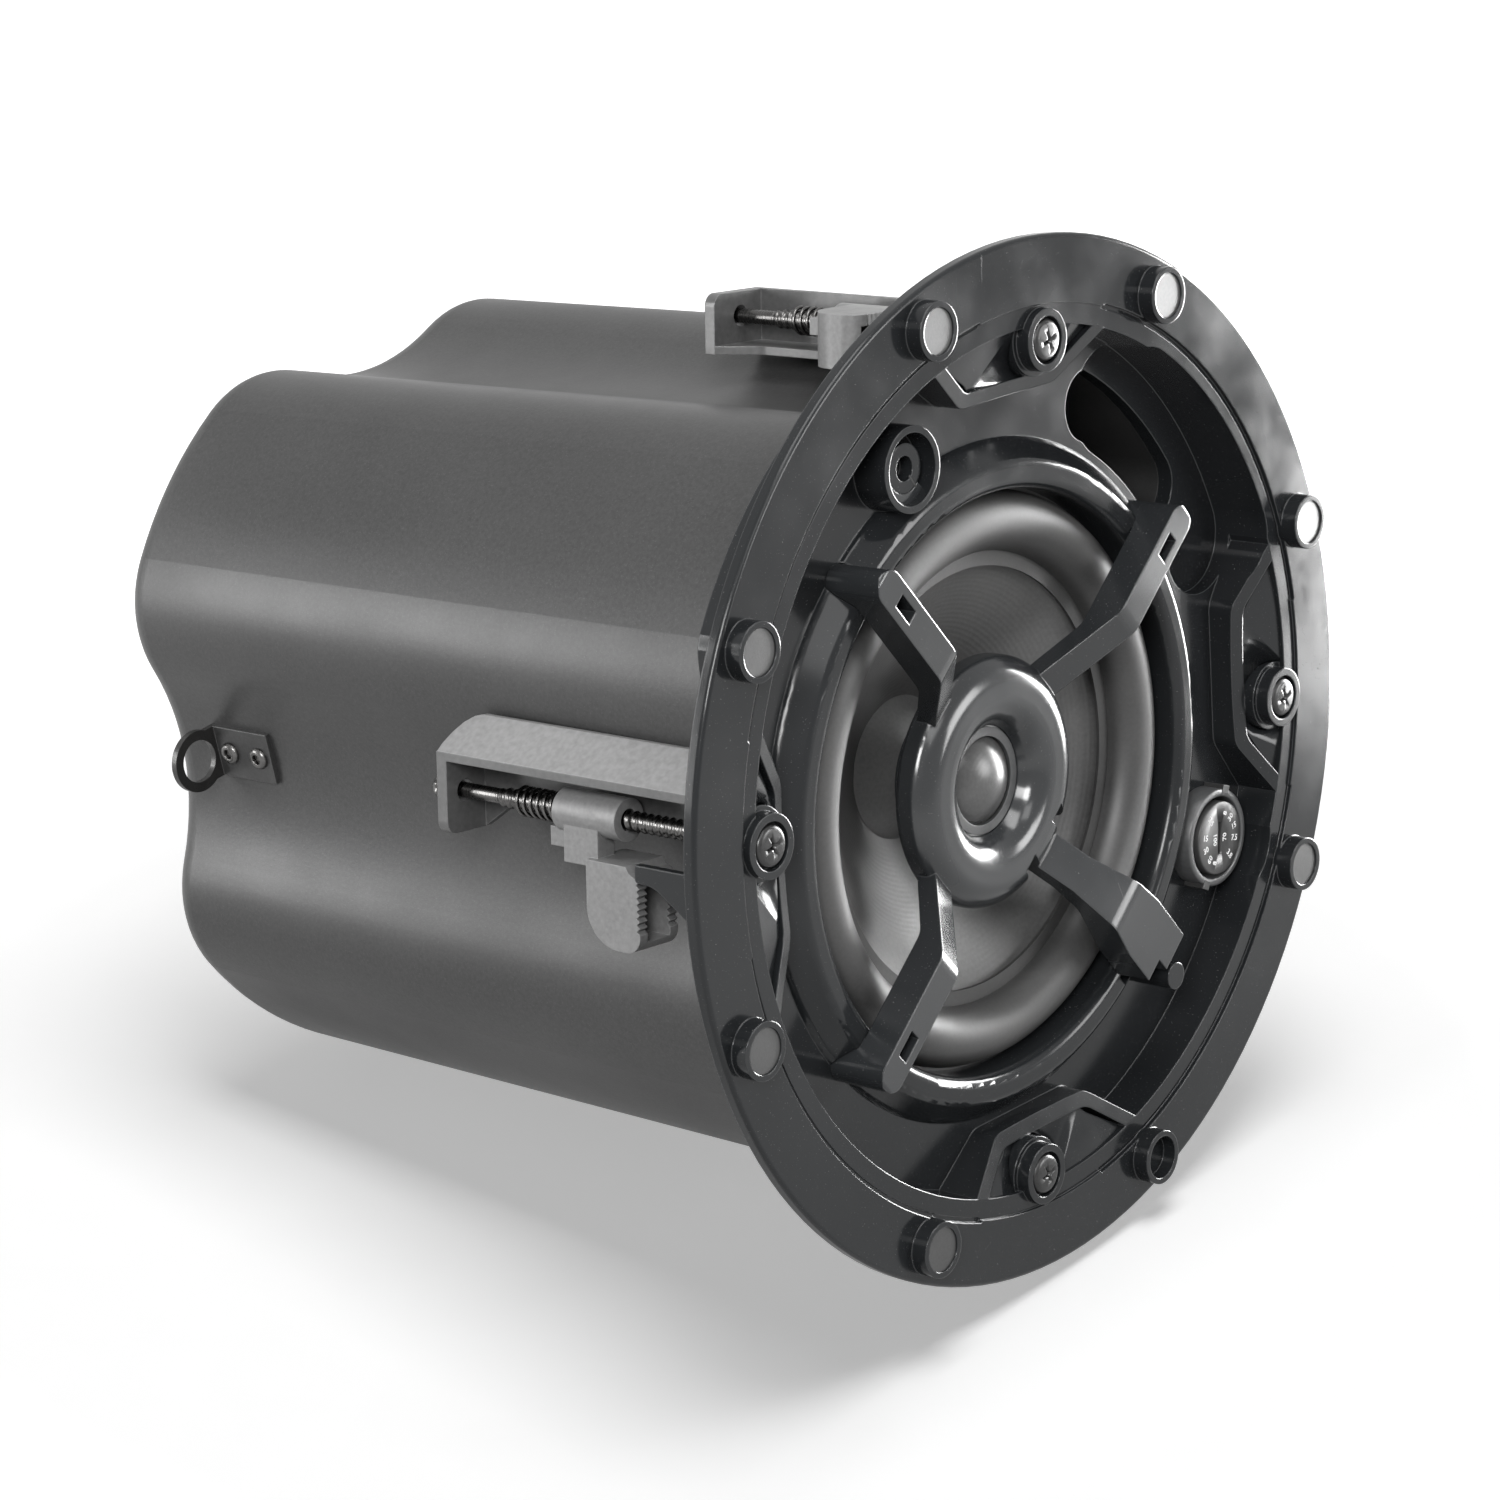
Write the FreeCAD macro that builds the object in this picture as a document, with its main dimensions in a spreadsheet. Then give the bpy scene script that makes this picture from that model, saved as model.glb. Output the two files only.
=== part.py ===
import FreeCAD, Part
import math
import os

import Sketcher
from FreeCAD import Placement, Rotation, Vector

# A round in-ceiling loudspeaker with its four dog-leg clamps, standing on the rear end of its can.
# Z is the speaker's axis and points out of the front, with zero at the rear face of the can.
# X points at one clamp screw and Y at the next, seen from the front with X to the right.

SHEET = "Sizes"
CLAMPS = ("east", "north", "west", "south")
QUARTER = 90
HALF_TURN = 180
FULL_TURN = 360

# Each driving dimension in millimetres or degrees, with what it measures.
SIZES = (
    ("overall_depth", 209, "rear face of the can to front face of the flange"),
    ("flange_radius", 121, "outer radius of the flange"),
    ("flange_thickness", 3, "thickness of the flange"),
    ("flange_round", 1, "rounding of the flange's front edge"),
    ("skirt_radius", 104.5, "outer radius of the moulded skirt behind the flange"),
    ("skirt_flat", 89.3, "axis to the four flats of the skirt, where the clamps stand"),
    ("skirt_depth", 20, "front face of the flange to the rear face of the skirt"),
    ("skirt_wall", 2, "least wall of the moulding"),
    ("skirt_corner", 9, "rounding where a flat meets the round of the skirt"),
    ("collar_depth", 14, "front face to the rear of the round collar behind the flange"),
    ("valley_turn", 8.6, "turn from a clamp screw to the middle of its valley"),
    ("bowl_radius", 100.6, "radius of the wall of the front bowl"),
    ("bowl_depth", 12, "front face to the floor of the bowl"),
    ("island_inner", 85.3, "speaker axis to the inner edge of a screw island"),
    ("island_half", 17.3, "half of the length of that edge"),
    ("island_spread", 19.2, "bearing from the middle of an island to its end at the bowl wall"),
    ("island_round", 6, "rounding of the island's inner corners"),
    ("island_shelf", 8.2, "front face to the shelf of an island"),
    ("island_rim", 3.5, "width of the rim round that shelf"),
    ("island_low", 6.3, "front face to the rim at the island's inner edge"),
    ("room_top", 10, "front face to the roof of the room in which a clamp starts"),
    ("room_gap", 3, "room beyond the end of the dog-leg's arm"),
    ("bowl_join", 80, "radius about the driver where its raised rim meets the floor"),
    ("driver_offset", 6.5, "driver axis to speaker axis"),
    ("driver_bearing", 225, "direction in which the driver sits off the speaker axis"),
    ("opening_radius", 68, "opening of the baffle in front of the cone"),
    ("rim_crest", 71.5, "radius of the crest of the raised rim round the driver"),
    ("rim_crest_depth", 6.2, "front face to the crest of that rim"),
    ("rim_curl", 2.6, "radius of the curl of the rim"),
    ("seat_depth", 16.6, "front face to the seat of the driver frame"),
    ("groove_radius", 105.4, "middle of the groove round the inside of the flange"),
    ("groove_width", 1.1, "width of that groove"),
    ("groove_depth", 1.2, "depth of that groove"),
    ("groove_gap", 13, "half of the break in the groove at each clamp screw"),
    ("land_drop", 0.8, "step from the flange down to the land inside the groove"),
    ("magnet_circle", 112.2, "pitch radius of the grille magnets"),
    ("magnet_bearing", 22.5, "bearing of the first magnet cup"),
    ("magnet_cup_radius", 6.6, "outer radius of a magnet cup"),
    ("magnet_cup_height", 4, "height of a magnet cup above the flange"),
    ("magnet_radius", 5.2, "radius of a grille magnet"),
    ("magnet_thickness", 3, "thickness of a grille magnet"),
    ("magnet_sink", 0.4, "magnet face below the rim of its cup"),
    ("clamp_circle", 97.4, "pitch radius of the clamp screws"),
    ("boss_radius", 7.2, "outer radius of a clamp screw boss"),
    ("boss_height", 1.2, "height of that boss above the flange"),
    ("boss_foot", 8.4, "radius of the thicker foot of that boss"),
    ("boss_step", 2.2, "front face down to the top of that foot"),
    ("head_sink", 1, "front face down to the seat of a screw head"),
    ("head_radius", 4.8, "radius of a clamp screw head"),
    ("head_height", 2.7, "height of a clamp screw head"),
    ("head_chamfer", 0.9, "chamfer of a clamp screw head"),
    ("head_gap", 0.6, "gap round a screw head in its boss"),
    ("shank_radius", 2.4, "radius of a clamp screw shank"),
    ("tip_radius", 2.9, "radius of the domed tip that keeps a screw in its channel"),
    ("running_gap", 0.1, "clearance of a shaft in its bore"),
    ("port_inner", 75.5, "inner radius of the port mouth"),
    ("port_outer", 102, "outer radius of the port mouth"),
    ("port_first", 27, "bearing of the first rounded end of the port"),
    ("port_last", 62, "bearing of the last rounded end of the port"),
    ("duct_inner", 76.5, "inner radius of the port duct"),
    ("duct_outer", 93.5, "outer radius of the port duct"),
    ("duct_first", 40, "bearing of the first rounded end of the duct"),
    ("duct_last", 67, "bearing of the last rounded end of the duct"),
    ("duct_wall", 1.8, "wall of the port duct"),
    ("duct_depth", 84, "front face to the rear end of the duct"),
    ("mouth_depth", 16, "depth of the wide port mouth"),
    ("dial_circle", 87, "speaker axis to the tap dial"),
    ("dial_bearing", -22.5, "bearing of the tap dial"),
    ("dial_radius", 9, "radius of the tap dial"),
    ("dial_thickness", 2, "thickness of the tap dial"),
    ("dial_stem_radius", 2.5, "radius of the dial's stem"),
    ("dial_stem_length", 16, "length of the dial's stem"),
    ("dial_slot_width", 1.6, "width of the screwdriver slot of the dial"),
    ("dial_slot_length", 11, "length of the screwdriver slot"),
    ("bezel_radius", 11.2, "outer radius of the ring round the dial"),
    ("bezel_height", 5.6, "height of the ring above the floor of the bowl"),
    ("bezel_gap", 0.35, "gap between dial and ring"),
    ("bezel_key", 3, "width of the two keys of the ring"),
    ("recess_radius", 13.4, "finger recess in the bowl wall round the dial"),
    ("recess_circle", 88.6, "speaker axis to the middle of that recess"),
    ("switch_side", 22, "side of the tap switch behind the floor"),
    ("switch_edge", 4.5, "dial axis to the outer edge of the tap switch"),
    ("switch_depth", 14, "depth of the tap switch"),
    ("cup_circle", 85, "speaker axis to the tether cup"),
    ("cup_bearing", 120.6, "bearing of the tether cup"),
    ("cup_radius", 9.7, "outer radius of the tether cup"),
    ("cup_wall", 1.6, "wall of the tether cup"),
    ("cup_top", 3.2, "front face down to the rim of the tether cup"),
    ("cup_floor", 9, "front face down to the floor of the tether cup"),
    ("cup_disc_radius", 5.6, "disc inside the tether cup"),
    ("cup_disc_top", 5.5, "front face down to that disc"),
    ("cup_hole_radius", 2.8, "hole in that disc"),
    ("pin_circle", 78, "driver axis to the locating pin"),
    ("pin_bearing", -45.5, "bearing of the locating pin about the driver"),
    ("pin_radius", 3.3, "radius of the locating pin"),
    ("pin_rise", 2.6, "locating pin above the front face"),
    ("can_wall", 1.2, "sheet of the can"),
    ("can_lobe", 98.2, "radius of the can over a lobe, at the rear"),
    ("can_valley", 79.2, "radius of the can in a valley, at the rear"),
    ("can_valley_curve", 58, "radius of the hollow of a valley"),
    ("can_shoulder", 30, "radius of the shoulder of a lobe"),
    ("can_draft", 0.7, "draft of the drawn can in degrees"),
    ("can_edge", 8, "rounding of the rear edge of the can"),
    ("channel_outer", 103.2, "speaker axis to the outer edge of a clamp channel"),
    ("channel_wall", 2, "wall of a clamp channel"),
    ("channel_side", 9.5, "screw axis to the outer face of the channel's side wall"),
    ("channel_root", 92, "speaker axis to the side wall beside the skirt"),
    ("channel_base", 89, "speaker axis to the base of the channel"),
    ("channel_reach", 92, "front face to the rear end of the channel"),
    ("end_plate", 3, "thickness of the channel's rear plate"),
    ("base_edge", 3, "screw axis to the free edge of the base"),
    ("web_radius", 9, "quarter-round web at the rear plate"),
    ("front_plate", 2, "thickness of the channel's front plate"),
    ("guide_radius", 103.8, "speaker axis to the inner face of the guide"),
    ("guide_wall", 2, "thickness of the guide"),
    ("guide_edge", 7.1, "screw axis to the near edge of the guide"),
    ("guide_width", 11.5, "width of the guide at its foot"),
    ("guide_tip", 4, "width of the guide's tip"),
    ("guide_reach", 30.5, "front face to the tip of the guide"),
    ("barrel_radius", 4.85, "radius of a dog-leg's barrel"),
    ("barrel_rear", 58, "front face to the rear end of the barrel"),
    ("barrel_length", 18.5, "length of the barrel"),
    ("arm_start", 8.7, "screw axis to the near edge of the arm"),
    ("arm_end", 28, "screw axis to the far end of the arm"),
    ("arm_outer", 6, "screw axis to the outer face of the arm"),
    ("arm_inner", 6.4, "screw axis to the inner face of the arm"),
    ("arm_front", 31.5, "front face to the teeth of the arm"),
    ("arm_depth", 15.5, "depth of the arm behind its teeth"),
    ("arm_wall", 2.6, "wall of the arm"),
    ("arm_heel", 9, "rounding of the arm's rear corner"),
    ("arm_toe", 4, "rounding of the arm's front corner"),
    ("neck_depth", 10, "depth of the neck between barrel and arm"),
    ("neck_front", 45, "front face to the front of the neck"),
    ("neck_wall", 5.4, "thickness of the neck"),
    ("tooth_count", 8, "teeth on each edge of an arm"),
    ("tooth_height", 0.9, "height of a tooth"),
    ("lug_length", 4, "length of the stop lug behind the barrel"),
    ("spring_radius", 3.5, "outer radius of the spring behind the barrel"),
    ("spring_wall", 0.8, "wire of that spring"),
    ("spring_length", 13, "length of that spring"),
    ("spring_gap", 0.1, "gap between spring and barrel"),
    ("frame_radius", 77.4, "outer radius of the driver frame"),
    ("frame_sheet", 2, "sheet of the driver frame"),
    ("basket_top", 70, "radius of the basket under its flange"),
    ("basket_foot", 43, "radius of the basket at the magnet"),
    ("shelf_radius", 51, "radius of the basket at the shelf that carries the spider"),
    ("basket_depth", 40, "seat of the frame to its bottom plate"),
    ("basket_hole", 30, "radius of the hole in the bottom plate"),
    ("window_width", 34, "width of a window of the basket"),
    ("window_count", 6, "windows of the basket"),
    ("surround_outer", 67.2, "outer radius of the surround's roll"),
    ("surround_inner", 53, "inner radius of the surround's roll"),
    ("surround_land", 3.5, "width of the glued edge of the surround"),
    ("surround_sheet", 0.8, "thickness of the surround"),
    ("cone_sheet", 0.9, "thickness of the cone"),
    ("cone_depth", 24, "depth of the cone"),
    ("coil_radius", 12.9, "inner radius of the voice coil former"),
    ("coil_sheet", 0.4, "thickness of the former"),
    ("coil_length", 24, "length of the former"),
    ("winding_length", 9, "length of the winding"),
    ("cap_radius", 17, "radius of the dust cap"),
    ("cap_rise", 5, "rise of the dust cap"),
    ("spider_outer", 47.5, "outer radius of the spider"),
    ("spider_depth", 14, "spider above the bottom plate of the basket"),
    ("spider_sheet", 0.6, "thickness of the spider"),
    ("plate_radius", 47, "radius of the top plate"),
    ("plate_thickness", 6, "thickness of the top plate"),
    ("magnet_ring_radius", 50, "radius of the woofer magnet"),
    ("magnet_ring_height", 16, "height of the woofer magnet"),
    ("magnet_ring_hole", 24, "hole of the woofer magnet"),
    ("yoke_thickness", 7, "thickness of the back plate"),
    ("pole_radius", 12.2, "radius of the pole"),
    ("pole_gap", 14.4, "radius of the hole in the top plate"),
    ("hub_radius", 29.5, "outer radius of the tweeter hub"),
    ("hub_rim_depth", 11.6, "front face to the rim of the hub"),
    ("hub_crest_radius", 22, "radius of the crest of the hub"),
    ("hub_crest_depth", 7.8, "front face to the crest of the hub"),
    ("hub_throat", 12.9, "radius of the throat of the hub"),
    ("hub_throat_depth", 13.6, "front face to the throat of the hub"),
    ("hub_back_depth", 17, "front face to the back of the hub's brim"),
    ("hub_cup_radius", 17.2, "radius of the cup behind the hub"),
    ("hub_cup_depth", 26, "front face to the end of that cup"),
    ("arm_rise", 3, "bridge arms above the front face"),
    ("bridge_width", 8, "width of a bridge arm"),
    ("bridge_height", 9, "height of a bridge arm"),
    ("bridge_elbow", 48, "hub axis to the elbow of an arm"),
    ("bridge_end", 81, "hub axis to the outer end of an arm"),
    ("bridge_root", 27, "hub axis to the root of an arm"),
    ("post_length", 9.5, "length of the foot at the end of an arm"),
    ("slot_length", 6.5, "length of the window at the end of an arm"),
    ("slot_width", 3.4, "width of that window"),
    ("slot_place", 69.5, "hub axis to the middle of that window"),
    ("wide_end", 73.5, "hub axis to the square end of the wide arm"),
    ("wide_width", 16, "width of the wide arm at its end"),
    ("wide_foot", 3.5, "length of the wide arm's foot"),
    ("bridge_turn", 45, "bearing of the first bridge arm"),
    ("notch_length", 5, "length of the notch of the wide arm"),
    ("notch_width", 6, "width of the notch of the wide arm"),
    ("dome_radius", 10.4, "radius of the tweeter dome"),
    ("dome_rise", 4.6, "rise of the tweeter dome"),
    ("dome_sheet", 0.5, "thickness of the tweeter dome"),
    ("ring_radius", 12.6, "outer radius of the ring round the dome"),
    ("ring_height", 1.3, "height of the ring round the dome"),
    ("motor_radius", 15, "radius of the tweeter's magnet"),
    ("motor_length", 9, "length of the tweeter's magnet"),
    ("loop_height", 190, "front face to the ring of a safety loop"),
    ("loop_plate_length", 20, "length of a safety loop's plate"),
    ("loop_plate_width", 13, "width of a safety loop's plate"),
    ("loop_sheet", 1.6, "sheet of a safety loop"),
    ("loop_shift", 6.4, "sideways place of a safety loop"),
    ("loop_hole_radius", 5.2, "radius of the hole of a safety loop"),
    ("loop_ring_radius", 7.6, "outer radius of the ring of a safety loop"),
    ("loop_ring_reach", 8, "back of the plate to the middle of the ring"),
    ("rivet_radius", 2.6, "radius of a rivet head"),
    ("rivet_rise", 1.3, "height of a rivet head"),
    ("rivet_spacing", 10, "distance of the two rivets"),
    ("box_gap", 17, "rear end of the clamp channel to the terminal box behind it"),
    ("box_length", 58, "length of the terminal box"),
    ("box_width", 40, "width of the terminal box"),
    ("box_outer", 98, "speaker axis to the face of the terminal box"),
    ("cover_sheet", 1.4, "sheet of the terminal cover"),
    ("gland_radius", 8, "radius of the cord grip"),
    ("gland_length", 15, "length of the cord grip"),
    ("gland_bore", 4, "radius of the bore of the cord grip"),
    ("core_length", 62, "length of the transformer core"),
    ("core_width", 52, "width of the transformer core"),
    ("core_height", 26, "height of the transformer core"),
    ("coil_overhang", 12, "winding of the transformer beyond its core"),
    ("board_length", 96, "length of the crossover board"),
    ("board_width", 52, "width of the crossover board"),
    ("board_sheet", 1.6, "thickness of the crossover board"),
    ("board_height", 52, "rear face to the crossover board"),
    ("pillar_radius", 3, "radius of the board's pillars"),
)

doc = FreeCAD.newDocument("CeilingSpeaker")
sheet = doc.addObject("Spreadsheet::Sheet", SHEET)
for row, (alias, number, meaning) in enumerate(SIZES, start=1):
    sheet.set(f"A{row}", meaning)
    sheet.set(f"B{row}", str(number))
    sheet.setAlias(f"B{row}", alias)
doc.recompute()


class Size:
    """A dimension known both as a number and as an expression on the sheet."""

    def __init__(self, value, text):
        self.value = value
        self.text = text

    def __add__(self, other):
        other = as_size(other)
        return Size(self.value + other.value, f"({self.text} + {other.text})")

    def __sub__(self, other):
        other = as_size(other)
        return Size(self.value - other.value, f"({self.text} - {other.text})")

    def __mul__(self, other):
        other = as_size(other)
        return Size(self.value * other.value, f"({self.text} * {other.text})")

    def __truediv__(self, other):
        other = as_size(other)
        return Size(self.value / other.value, f"({self.text} / {other.text})")

    def __neg__(self):
        return Size(-self.value, f"(0 - {self.text})")

    __radd__ = __add__

    def __rsub__(self, other):
        return as_size(other) - self


def as_size(number):
    """Any plain number as a Size."""
    return number if isinstance(number, Size) else Size(float(number), f"{float(number):.9g}")


def dim(alias):
    """The named dimension of the sheet."""
    return Size(float(sheet.get(alias)), f"{SHEET}.{alias}")


def cosine(angle):
    return Size(math.cos(math.radians(angle.value)), f"cos({angle.text})")


def sine(angle):
    return Size(math.sin(math.radians(angle.value)), f"sin({angle.text})")


def polar(radius, bearing):
    """The two coordinates of a point at a radius and a bearing."""
    radius, bearing = as_size(radius), as_size(bearing)
    return radius * cosine(bearing), radius * sine(bearing)


DRIVER = polar(dim("driver_offset"), dim("driver_bearing"))
FRONT = dim("overall_depth")


def bind(thing, place, size):
    """Set a property from a size, as an expression."""
    thing.setExpression(place, as_size(size).text)


def move(thing, x=0, y=0, z=0, turn=0):
    """Put a sub-part at its place, turned about the speaker's axis direction."""
    x, y, z, turn = (as_size(number) for number in (x, y, z, turn))
    thing.Placement = Placement(Vector(x.value, y.value, z.value), Rotation(Vector(0, 0, 1), turn.value))
    for axis, size in (("x", x), ("y", y), ("z", z)):
        bind(thing, f".Placement.Base.{axis}", size)
    bind(thing, ".Placement.Rotation.Angle", turn)


def new_body(label):
    body = doc.addObject("PartDesign::Body", label)
    body.Label = label
    return body


def new_sketch(body, role, name, lift=0, across=0):
    """A sketch on one of the body's own planes, lifted off it and shifted along its first axis."""
    sketch = body.newObject("Sketcher::SketchObject", name)
    plane = [feature for feature in body.Origin.OriginFeatures if feature.Role == role][0]
    sketch.AttachmentSupport = (plane, [""])
    sketch.MapMode = "FlatFace"
    lift, across = as_size(lift), as_size(across)
    sketch.AttachmentOffset = Placement(Vector(across.value, 0, lift.value), Rotation())
    bind(sketch, ".AttachmentOffset.Base.z", lift)
    bind(sketch, ".AttachmentOffset.Base.x", across)
    return sketch


def constrain(sketch, size, *definition):
    """Add a constraint that has a value, driven by a size."""
    index = sketch.addConstraint(Sketcher.Constraint(*definition, as_size(size).value))
    bind(sketch, f"Constraints[{index}]", size)


def fix_point(sketch, geometry, point, x, y):
    """Fix a point of a geometry at its two coordinates."""
    constrain(sketch, x, "DistanceX", -1, 1, geometry, point)
    constrain(sketch, y, "DistanceY", -1, 1, geometry, point)


def tangent_arc(before, corner, after, radius):
    """The arc that rounds a corner: its two ends and its centre."""
    first = (before - corner).normalize()
    last = (after - corner).normalize()
    half = math.acos(max(-1, min(1, first.dot(last)))) / 2
    reach = radius / math.tan(half)
    centre = corner + (first + last).normalize() * (radius / math.sin(half))
    return corner + first * reach, corner + last * reach, centre


def arc_between(start, end, centre):
    """The shorter arc from start to end, and whether it had to be drawn backwards."""
    angles = [math.atan2(point.y - centre.y, point.x - centre.x) for point in (start, end)]
    backwards = (angles[1] - angles[0]) % (2 * math.pi) > math.pi
    if backwards:
        angles.reverse()
    circle = Part.Circle(centre, Vector(0, 0, 1), (start - centre).Length)
    return Part.ArcOfCircle(circle, *angles), backwards


def draw_outline(sketch, corners):
    """A closed outline of straight runs: each corner is (x, y) or (x, y, rounding)."""
    points = [Vector(as_size(corner[0]).value, as_size(corner[1]).value, 0) for corner in corners]
    count = len(corners)
    starts, ends, arcs = {}, {}, {}
    for index, corner in enumerate(corners):
        starts[index] = ends[index] = points[index]
        if len(corner) > 2:
            radius = as_size(corner[2]).value
            before, after = points[index - 1], points[(index + 1) % count]
            ends[index], starts[index], centre = tangent_arc(before, points[index], after, radius)
            arcs[index] = arc_between(ends[index], starts[index], centre)
    lines = []
    for index in range(count):
        lines.append(sketch.addGeometry(Part.LineSegment(starts[index], ends[(index + 1) % count])))
    for index, corner in enumerate(corners):
        before, after = lines[index - 1], lines[index]
        if index not in arcs:
            sketch.addConstraint(Sketcher.Constraint("Coincident", before, 2, after, 1))
            fix_point(sketch, after, 1, corner[0], corner[1])
            continue
        arc, backwards = arcs[index]
        curve = sketch.addGeometry(arc)
        first, last = (2, 1) if backwards else (1, 2)
        sketch.addConstraint(Sketcher.Constraint("Tangent", before, 2, curve, first))
        sketch.addConstraint(Sketcher.Constraint("Tangent", curve, last, after, 1))
        constrain(sketch, corner[2], "Radius", curve)
        mark = sketch.addGeometry(Part.Point(points[index]), True)
        fix_point(sketch, mark, 1, corner[0], corner[1])
        sketch.addConstraint(Sketcher.Constraint("PointOnObject", mark, 1, before))
        sketch.addConstraint(Sketcher.Constraint("PointOnObject", mark, 1, after))


def draw_circle(sketch, radius, x=0, y=0):
    x, y, radius = as_size(x), as_size(y), as_size(radius)
    circle = sketch.addGeometry(Part.Circle(Vector(x.value, y.value, 0), Vector(0, 0, 1), radius.value))
    constrain(sketch, radius, "Radius", circle)
    fix_point(sketch, circle, 3, x, y)


def draw_box(sketch, x_low, x_high, y_low, y_high):
    draw_outline(sketch, ((x_low, y_low), (x_high, y_low), (x_high, y_high), (x_low, y_high)))


def chain(sketch, parts):
    """Join drawn arcs and lines end to end with tangent joints, and close the loop."""
    for (one, _, one_end), (two, two_start, _) in zip(parts, parts[1:] + parts[:1]):
        sketch.addConstraint(Sketcher.Constraint("Tangent", one, one_end, two, two_start))


def add_arc(sketch, start, end, centre):
    """Draw an arc and say which of its points is met first and last."""
    arc, backwards = arc_between(start, end, centre)
    index = sketch.addGeometry(arc)
    return (index, 2, 1) if backwards else (index, 1, 2)


def at(radius, bearing):
    """A plain point at a radius and a bearing in degrees."""
    return Vector(radius * math.cos(math.radians(bearing)), radius * math.sin(math.radians(bearing)), 0)


def draw_lobed(sketch, lobe, valley, valley_curve, shoulder, turn):
    """The outline of the can: four lobes and four hollow valleys, all tangent arcs."""
    hollow = valley + valley_curve
    knee = lobe.value - shoulder.value
    reach = shoulder.value + valley_curve.value
    open_angle = math.degrees(math.acos((knee ** 2 + hollow.value ** 2 - reach ** 2) / (2 * knee * hollow.value)))
    parts = []
    for index in range(4):
        bearing = turn.value + QUARTER * index
        pit = at(hollow.value, bearing)
        before, after = at(knee, bearing - open_angle), at(knee, bearing + open_angle)
        following = bearing + QUARTER - open_angle
        meet_before = before + (pit - before).normalize() * shoulder.value
        meet_after = after + (pit - after).normalize() * shoulder.value
        valley_arc = add_arc(sketch, meet_before, meet_after, pit)
        knee_arc = add_arc(sketch, meet_after, at(lobe.value, bearing + open_angle), after)
        lobe_arc = add_arc(sketch, at(lobe.value, bearing + open_angle), at(lobe.value, following), Vector())
        next_pit = at(hollow.value, bearing + QUARTER)
        next_knee = at(knee, following)
        next_meet = next_knee + (next_pit - next_knee).normalize() * shoulder.value
        last_arc = add_arc(sketch, at(lobe.value, following), next_meet, next_knee)
        fix_point(sketch, valley_arc[0], 3, *polar(hollow, turn + QUARTER * index))
        constrain(sketch, valley_curve, "Radius", valley_arc[0])
        constrain(sketch, shoulder, "Radius", knee_arc[0])
        constrain(sketch, shoulder, "Radius", last_arc[0])
        constrain(sketch, lobe, "Radius", lobe_arc[0])
        sketch.addConstraint(Sketcher.Constraint("Coincident", lobe_arc[0], 3, -1, 1))
        parts += [valley_arc, knee_arc, lobe_arc, last_arc]
    chain(sketch, parts)


def draw_flatted(sketch, radius, flat, corner, turn):
    """A circle with four flats, their corners rounded."""
    swing = math.degrees(math.acos((flat.value - corner.value) / (radius.value - corner.value)))
    half_flat = (radius.value - corner.value) * math.sin(math.radians(swing))
    parts = []
    for index in range(4):
        bearing = turn.value + QUARTER * index
        foot, side = at(flat.value, bearing), at(half_flat, bearing + QUARTER)
        line = sketch.addGeometry(Part.LineSegment(foot - side, foot + side))
        first = add_arc(sketch, foot + side, at(radius.value, bearing + swing),
                        at(radius.value - corner.value, bearing + swing))
        following = bearing + QUARTER - swing
        round_arc = add_arc(sketch, at(radius.value, bearing + swing), at(radius.value, following), Vector())
        next_foot, next_side = at(flat.value, bearing + QUARTER), at(half_flat, bearing + HALF_TURN)
        last = add_arc(sketch, at(radius.value, following), next_foot - next_side,
                       at(radius.value - corner.value, following))
        mark = sketch.addGeometry(Part.Point(foot), True)
        fix_point(sketch, mark, 1, *polar(flat, turn + QUARTER * index))
        sketch.addConstraint(Sketcher.Constraint("Symmetric", line, 1, line, 2, mark, 1))
        constrain(sketch, corner, "Radius", first[0])
        constrain(sketch, corner, "Radius", last[0])
        constrain(sketch, radius, "Radius", round_arc[0])
        sketch.addConstraint(Sketcher.Constraint("Coincident", round_arc[0], 3, -1, 1))
        parts += [(line, 1, 2), first, round_arc, last]
    chain(sketch, parts)


def draw_arc_slot(sketch, inner, outer, first, last):
    """A slot bent round the axis, with round ends."""
    middle, end = (inner + outer) / 2, (outer.value - inner.value) / 2
    outside = add_arc(sketch, at(outer.value, first.value), at(outer.value, last.value), Vector())
    tip = add_half(sketch, at(middle.value, last.value), end, last.value)
    inside = add_arc(sketch, at(inner.value, last.value), at(inner.value, first.value), Vector())
    tail = add_half(sketch, at(middle.value, first.value), end, first.value + HALF_TURN)
    chain(sketch, [outside, tip, inside, tail])
    for arc, radius in ((outside, outer), (inside, inner)):
        constrain(sketch, radius, "Radius", arc[0])
        sketch.addConstraint(Sketcher.Constraint("Coincident", arc[0], 3, -1, 1))
    for arc, bearing in ((tip, last), (tail, first)):
        constrain(sketch, middle * cosine(bearing), "DistanceX", -1, 1, arc[0], 3)


def add_half(sketch, centre, radius, bearing):
    """A half circle from a bearing on, counter-clockwise."""
    start = math.radians(bearing)
    circle = Part.Circle(centre, Vector(0, 0, 1), radius)
    return sketch.addGeometry(Part.ArcOfCircle(circle, start, start + math.pi)), 1, 2


def pad(body, sketch, length, both=False, taper=None):
    feature = body.newObject("PartDesign::Pad", f"{sketch.Name}Pad")
    feature.Profile = sketch
    bind(feature, "Length", length)
    feature.Length = as_size(length).value
    feature.Midplane = both
    if taper is not None:
        feature.TaperAngle = taper.value
        bind(feature, "TaperAngle", taper)
    sketch.Visibility = False
    return feature


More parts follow.
